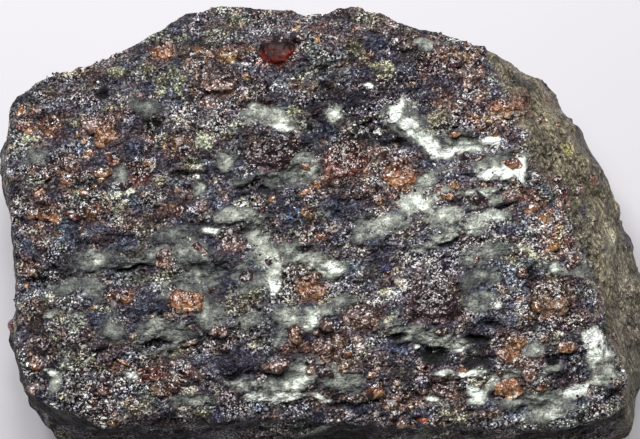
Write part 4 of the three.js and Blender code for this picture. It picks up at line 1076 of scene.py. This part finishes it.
def turned(random, count):
    """Random rotation matrices, evenly spread."""
    axes = random.normal(size=(count, 4))
    w, x, y, z = (axes / np.linalg.norm(axes, axis=1)[:, None]).T
    rows = [
        [1 - 2 * (y * y + z * z), 2 * (x * y - w * z), 2 * (x * z + w * y)],
        [2 * (x * y + w * z), 1 - 2 * (x * x + z * z), 2 * (y * z - w * x)],
        [2 * (x * z - w * y), 2 * (y * z + w * x), 1 - 2 * (x * x + y * y)],
    ]
    return np.array(rows).transpose(2, 0, 1)


# Where they stand: on bare groundmass, thickest round the garnets and in the clusters of painted glints.
random = np.random.default_rng(17)
rock_points = vertex_values(mesh, "co")
rock_normals = vertex_values(mesh, "normal")
chance = upward * (1 - 0.85 * serpentine) * (1 - 0.8 * grain_share)
chance = chance * (0.06 + 0.94 * sparkle**3) * (1 - 0.7 * rind) * inner
chance *= 1 + 2 * smooth_step(by_garnet, 0.35, 0.8)
for x, y, size in placed:
    chance *= np.hypot(rock_points[:, 0] - x, rock_points[:, 1] - y) > 0.95 * size
glint_spot = np.zeros(len(points))
for x, y in GLINT_CLUSTERS:
    glint_spot = np.maximum(glint_spot, 1 - np.hypot(spots[:, 0] - x, spots[:, 1] - y) / CLUSTER_HALF)
glint_spot = smooth_step(glint_spot, 0.0, 0.8) * upward
chance += 12 * glint_spot
chosen = random.choice(len(rock_points), CRYSTAL_COUNT, replace=False, p=chance / chance.sum())

# Their sizes, and their colours after the rock under each one, with some pale calcite and the pale crystals
# of the painted glints.
halves = CRYSTAL_HALF * np.exp(random.normal(0, 0.55, (CRYSTAL_COUNT, 1)))
halves = halves * random.uniform(0.6, 1.35, (CRYSTAL_COUNT, 3))
shade = np.exp(random.normal(-0.5, 0.65, CRYSTAL_COUNT))
colours = tint[chosen].copy()
colours[:, :3] = np.clip(colours[:, :3] * shade[:, None], 0.004, 0.5)
colours[:, :3] -= 0.5 * (colours[:, :3] - colours[:, :3].mean(axis=1, keepdims=True))
pale = random.random(CRYSTAL_COUNT) < 0.04 + 0.7 * glint_spot[chosen]
pale_colours = np.array(linear(CALCITE_AND_GLINT))[:3] * random.uniform(0.35, 1.0, (pale.sum(), 1))
rock_hue = tint[chosen][pale, :3] / tint[chosen][pale, :3].max(axis=1)[:, None]
colours[pale, :3] = pale_colours * (0.88 + 0.12 * rock_hue)

# All in one object: copies of the ball, each jittered, sized, turned and partly sunk.
corners = len(pattern_points)
shapes = pattern_points[None] * (1 + random.uniform(-JITTER, JITTER, (CRYSTAL_COUNT, corners, 1)))
shapes = np.einsum("nij,nkj->nki", turned(random, CRYSTAL_COUNT), shapes * halves[:, None, :])
sunk = rock_normals[chosen] * (halves.min(axis=1) * CRYSTAL_SINK)[:, None]
shapes += (rock_points[chosen] - sunk)[:, None, :]
faces = pattern_faces[None] + (np.arange(CRYSTAL_COUNT) * corners)[:, None, None]
crystal_mesh = bpy.data.meshes.new("groundmass_crystals")
crystal_mesh.from_pydata(shapes.reshape(-1, 3), [], faces.reshape(-1, 3).tolist())
add_tint(crystal_mesh, np.repeat(colours, corners, axis=0))
add_share(crystal_mesh, "polish", np.repeat(random.random(CRYSTAL_COUNT), corners))
crystals = bpy.data.objects.new("groundmass_crystals", crystal_mesh)
bpy.context.scene.collection.objects.link(crystals)

# Mica and calcite: flat glossy faces, coloured after the rock they grew in and a few of them pale, among
# them the painted glints.
mica, flake = new_material("mica and calcite crystals")
own_tint = add_node(mica, "Attribute", {}, attribute_name="tint")
own_polish = add_node(mica, "Attribute", {}, attribute_name="polish")
gloss = add_node(mica, "MapRange", {"Value": own_polish.outputs["Fac"], "To Min": 0.12, "To Max": 0.5})
set_sockets(mica, flake, {"Base Color": own_tint, "Roughness": gloss, "IOR": 1.6})
crystals.data.materials.append(mica)
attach(crystals, "root")

# ---- Floor and light ----------------------------------------------------------------------
# A pale sheet under the stone, one large soft lamp overhead and behind it, and three small ones
# that put a glint on the crystals.

SHEET, SKY = "#bdbbbf", "#f2f3f8"
# Name, place and size in metres, power in watts.
LAMPS = [
    ("overhead", (-0.06, 0.2, 0.42), 0.42, 2.1), ("right", (0.09, 0.17, 0.24), 0.06, 0.22),
    ("left", (-0.1, 0.14, 0.26), 0.06, 0.48), ("top", (0.02, 0.06, 0.33), 0.05, 0.32),
]
LAMP_AIM = Vector((0, 0, 0.015))

bpy.ops.mesh.primitive_plane_add(size=2, location=(0, 0, 0))
floor = bpy.context.object
floor.name = "floor"

# Pale paper: even, matt and a little darker than white.
paper, sheet = new_material("pale paper")
set_sockets(paper, sheet, {"Base Color": linear(SHEET), "Roughness": 0.8})
floor.data.materials.append(paper)

for name, place, size, power in LAMPS:
    data = bpy.data.lights.new(name, "AREA")
    data.size = size
    data.energy = power
    lamp = bpy.data.objects.new(name, data)
    lamp.location = place
    lamp.rotation_euler = (Vector(place) - LAMP_AIM).to_track_quat("Z", "Y").to_euler()
    bpy.context.scene.collection.objects.link(lamp)
world = bpy.data.worlds.new("studio")
world.use_nodes = True
world.node_tree.nodes["Background"].inputs["Color"].default_value = linear(SKY)
world.node_tree.nodes["Background"].inputs["Strength"].default_value = 0.02
bpy.context.scene.world = world
bpy.context.scene.view_settings.view_transform = "Standard"
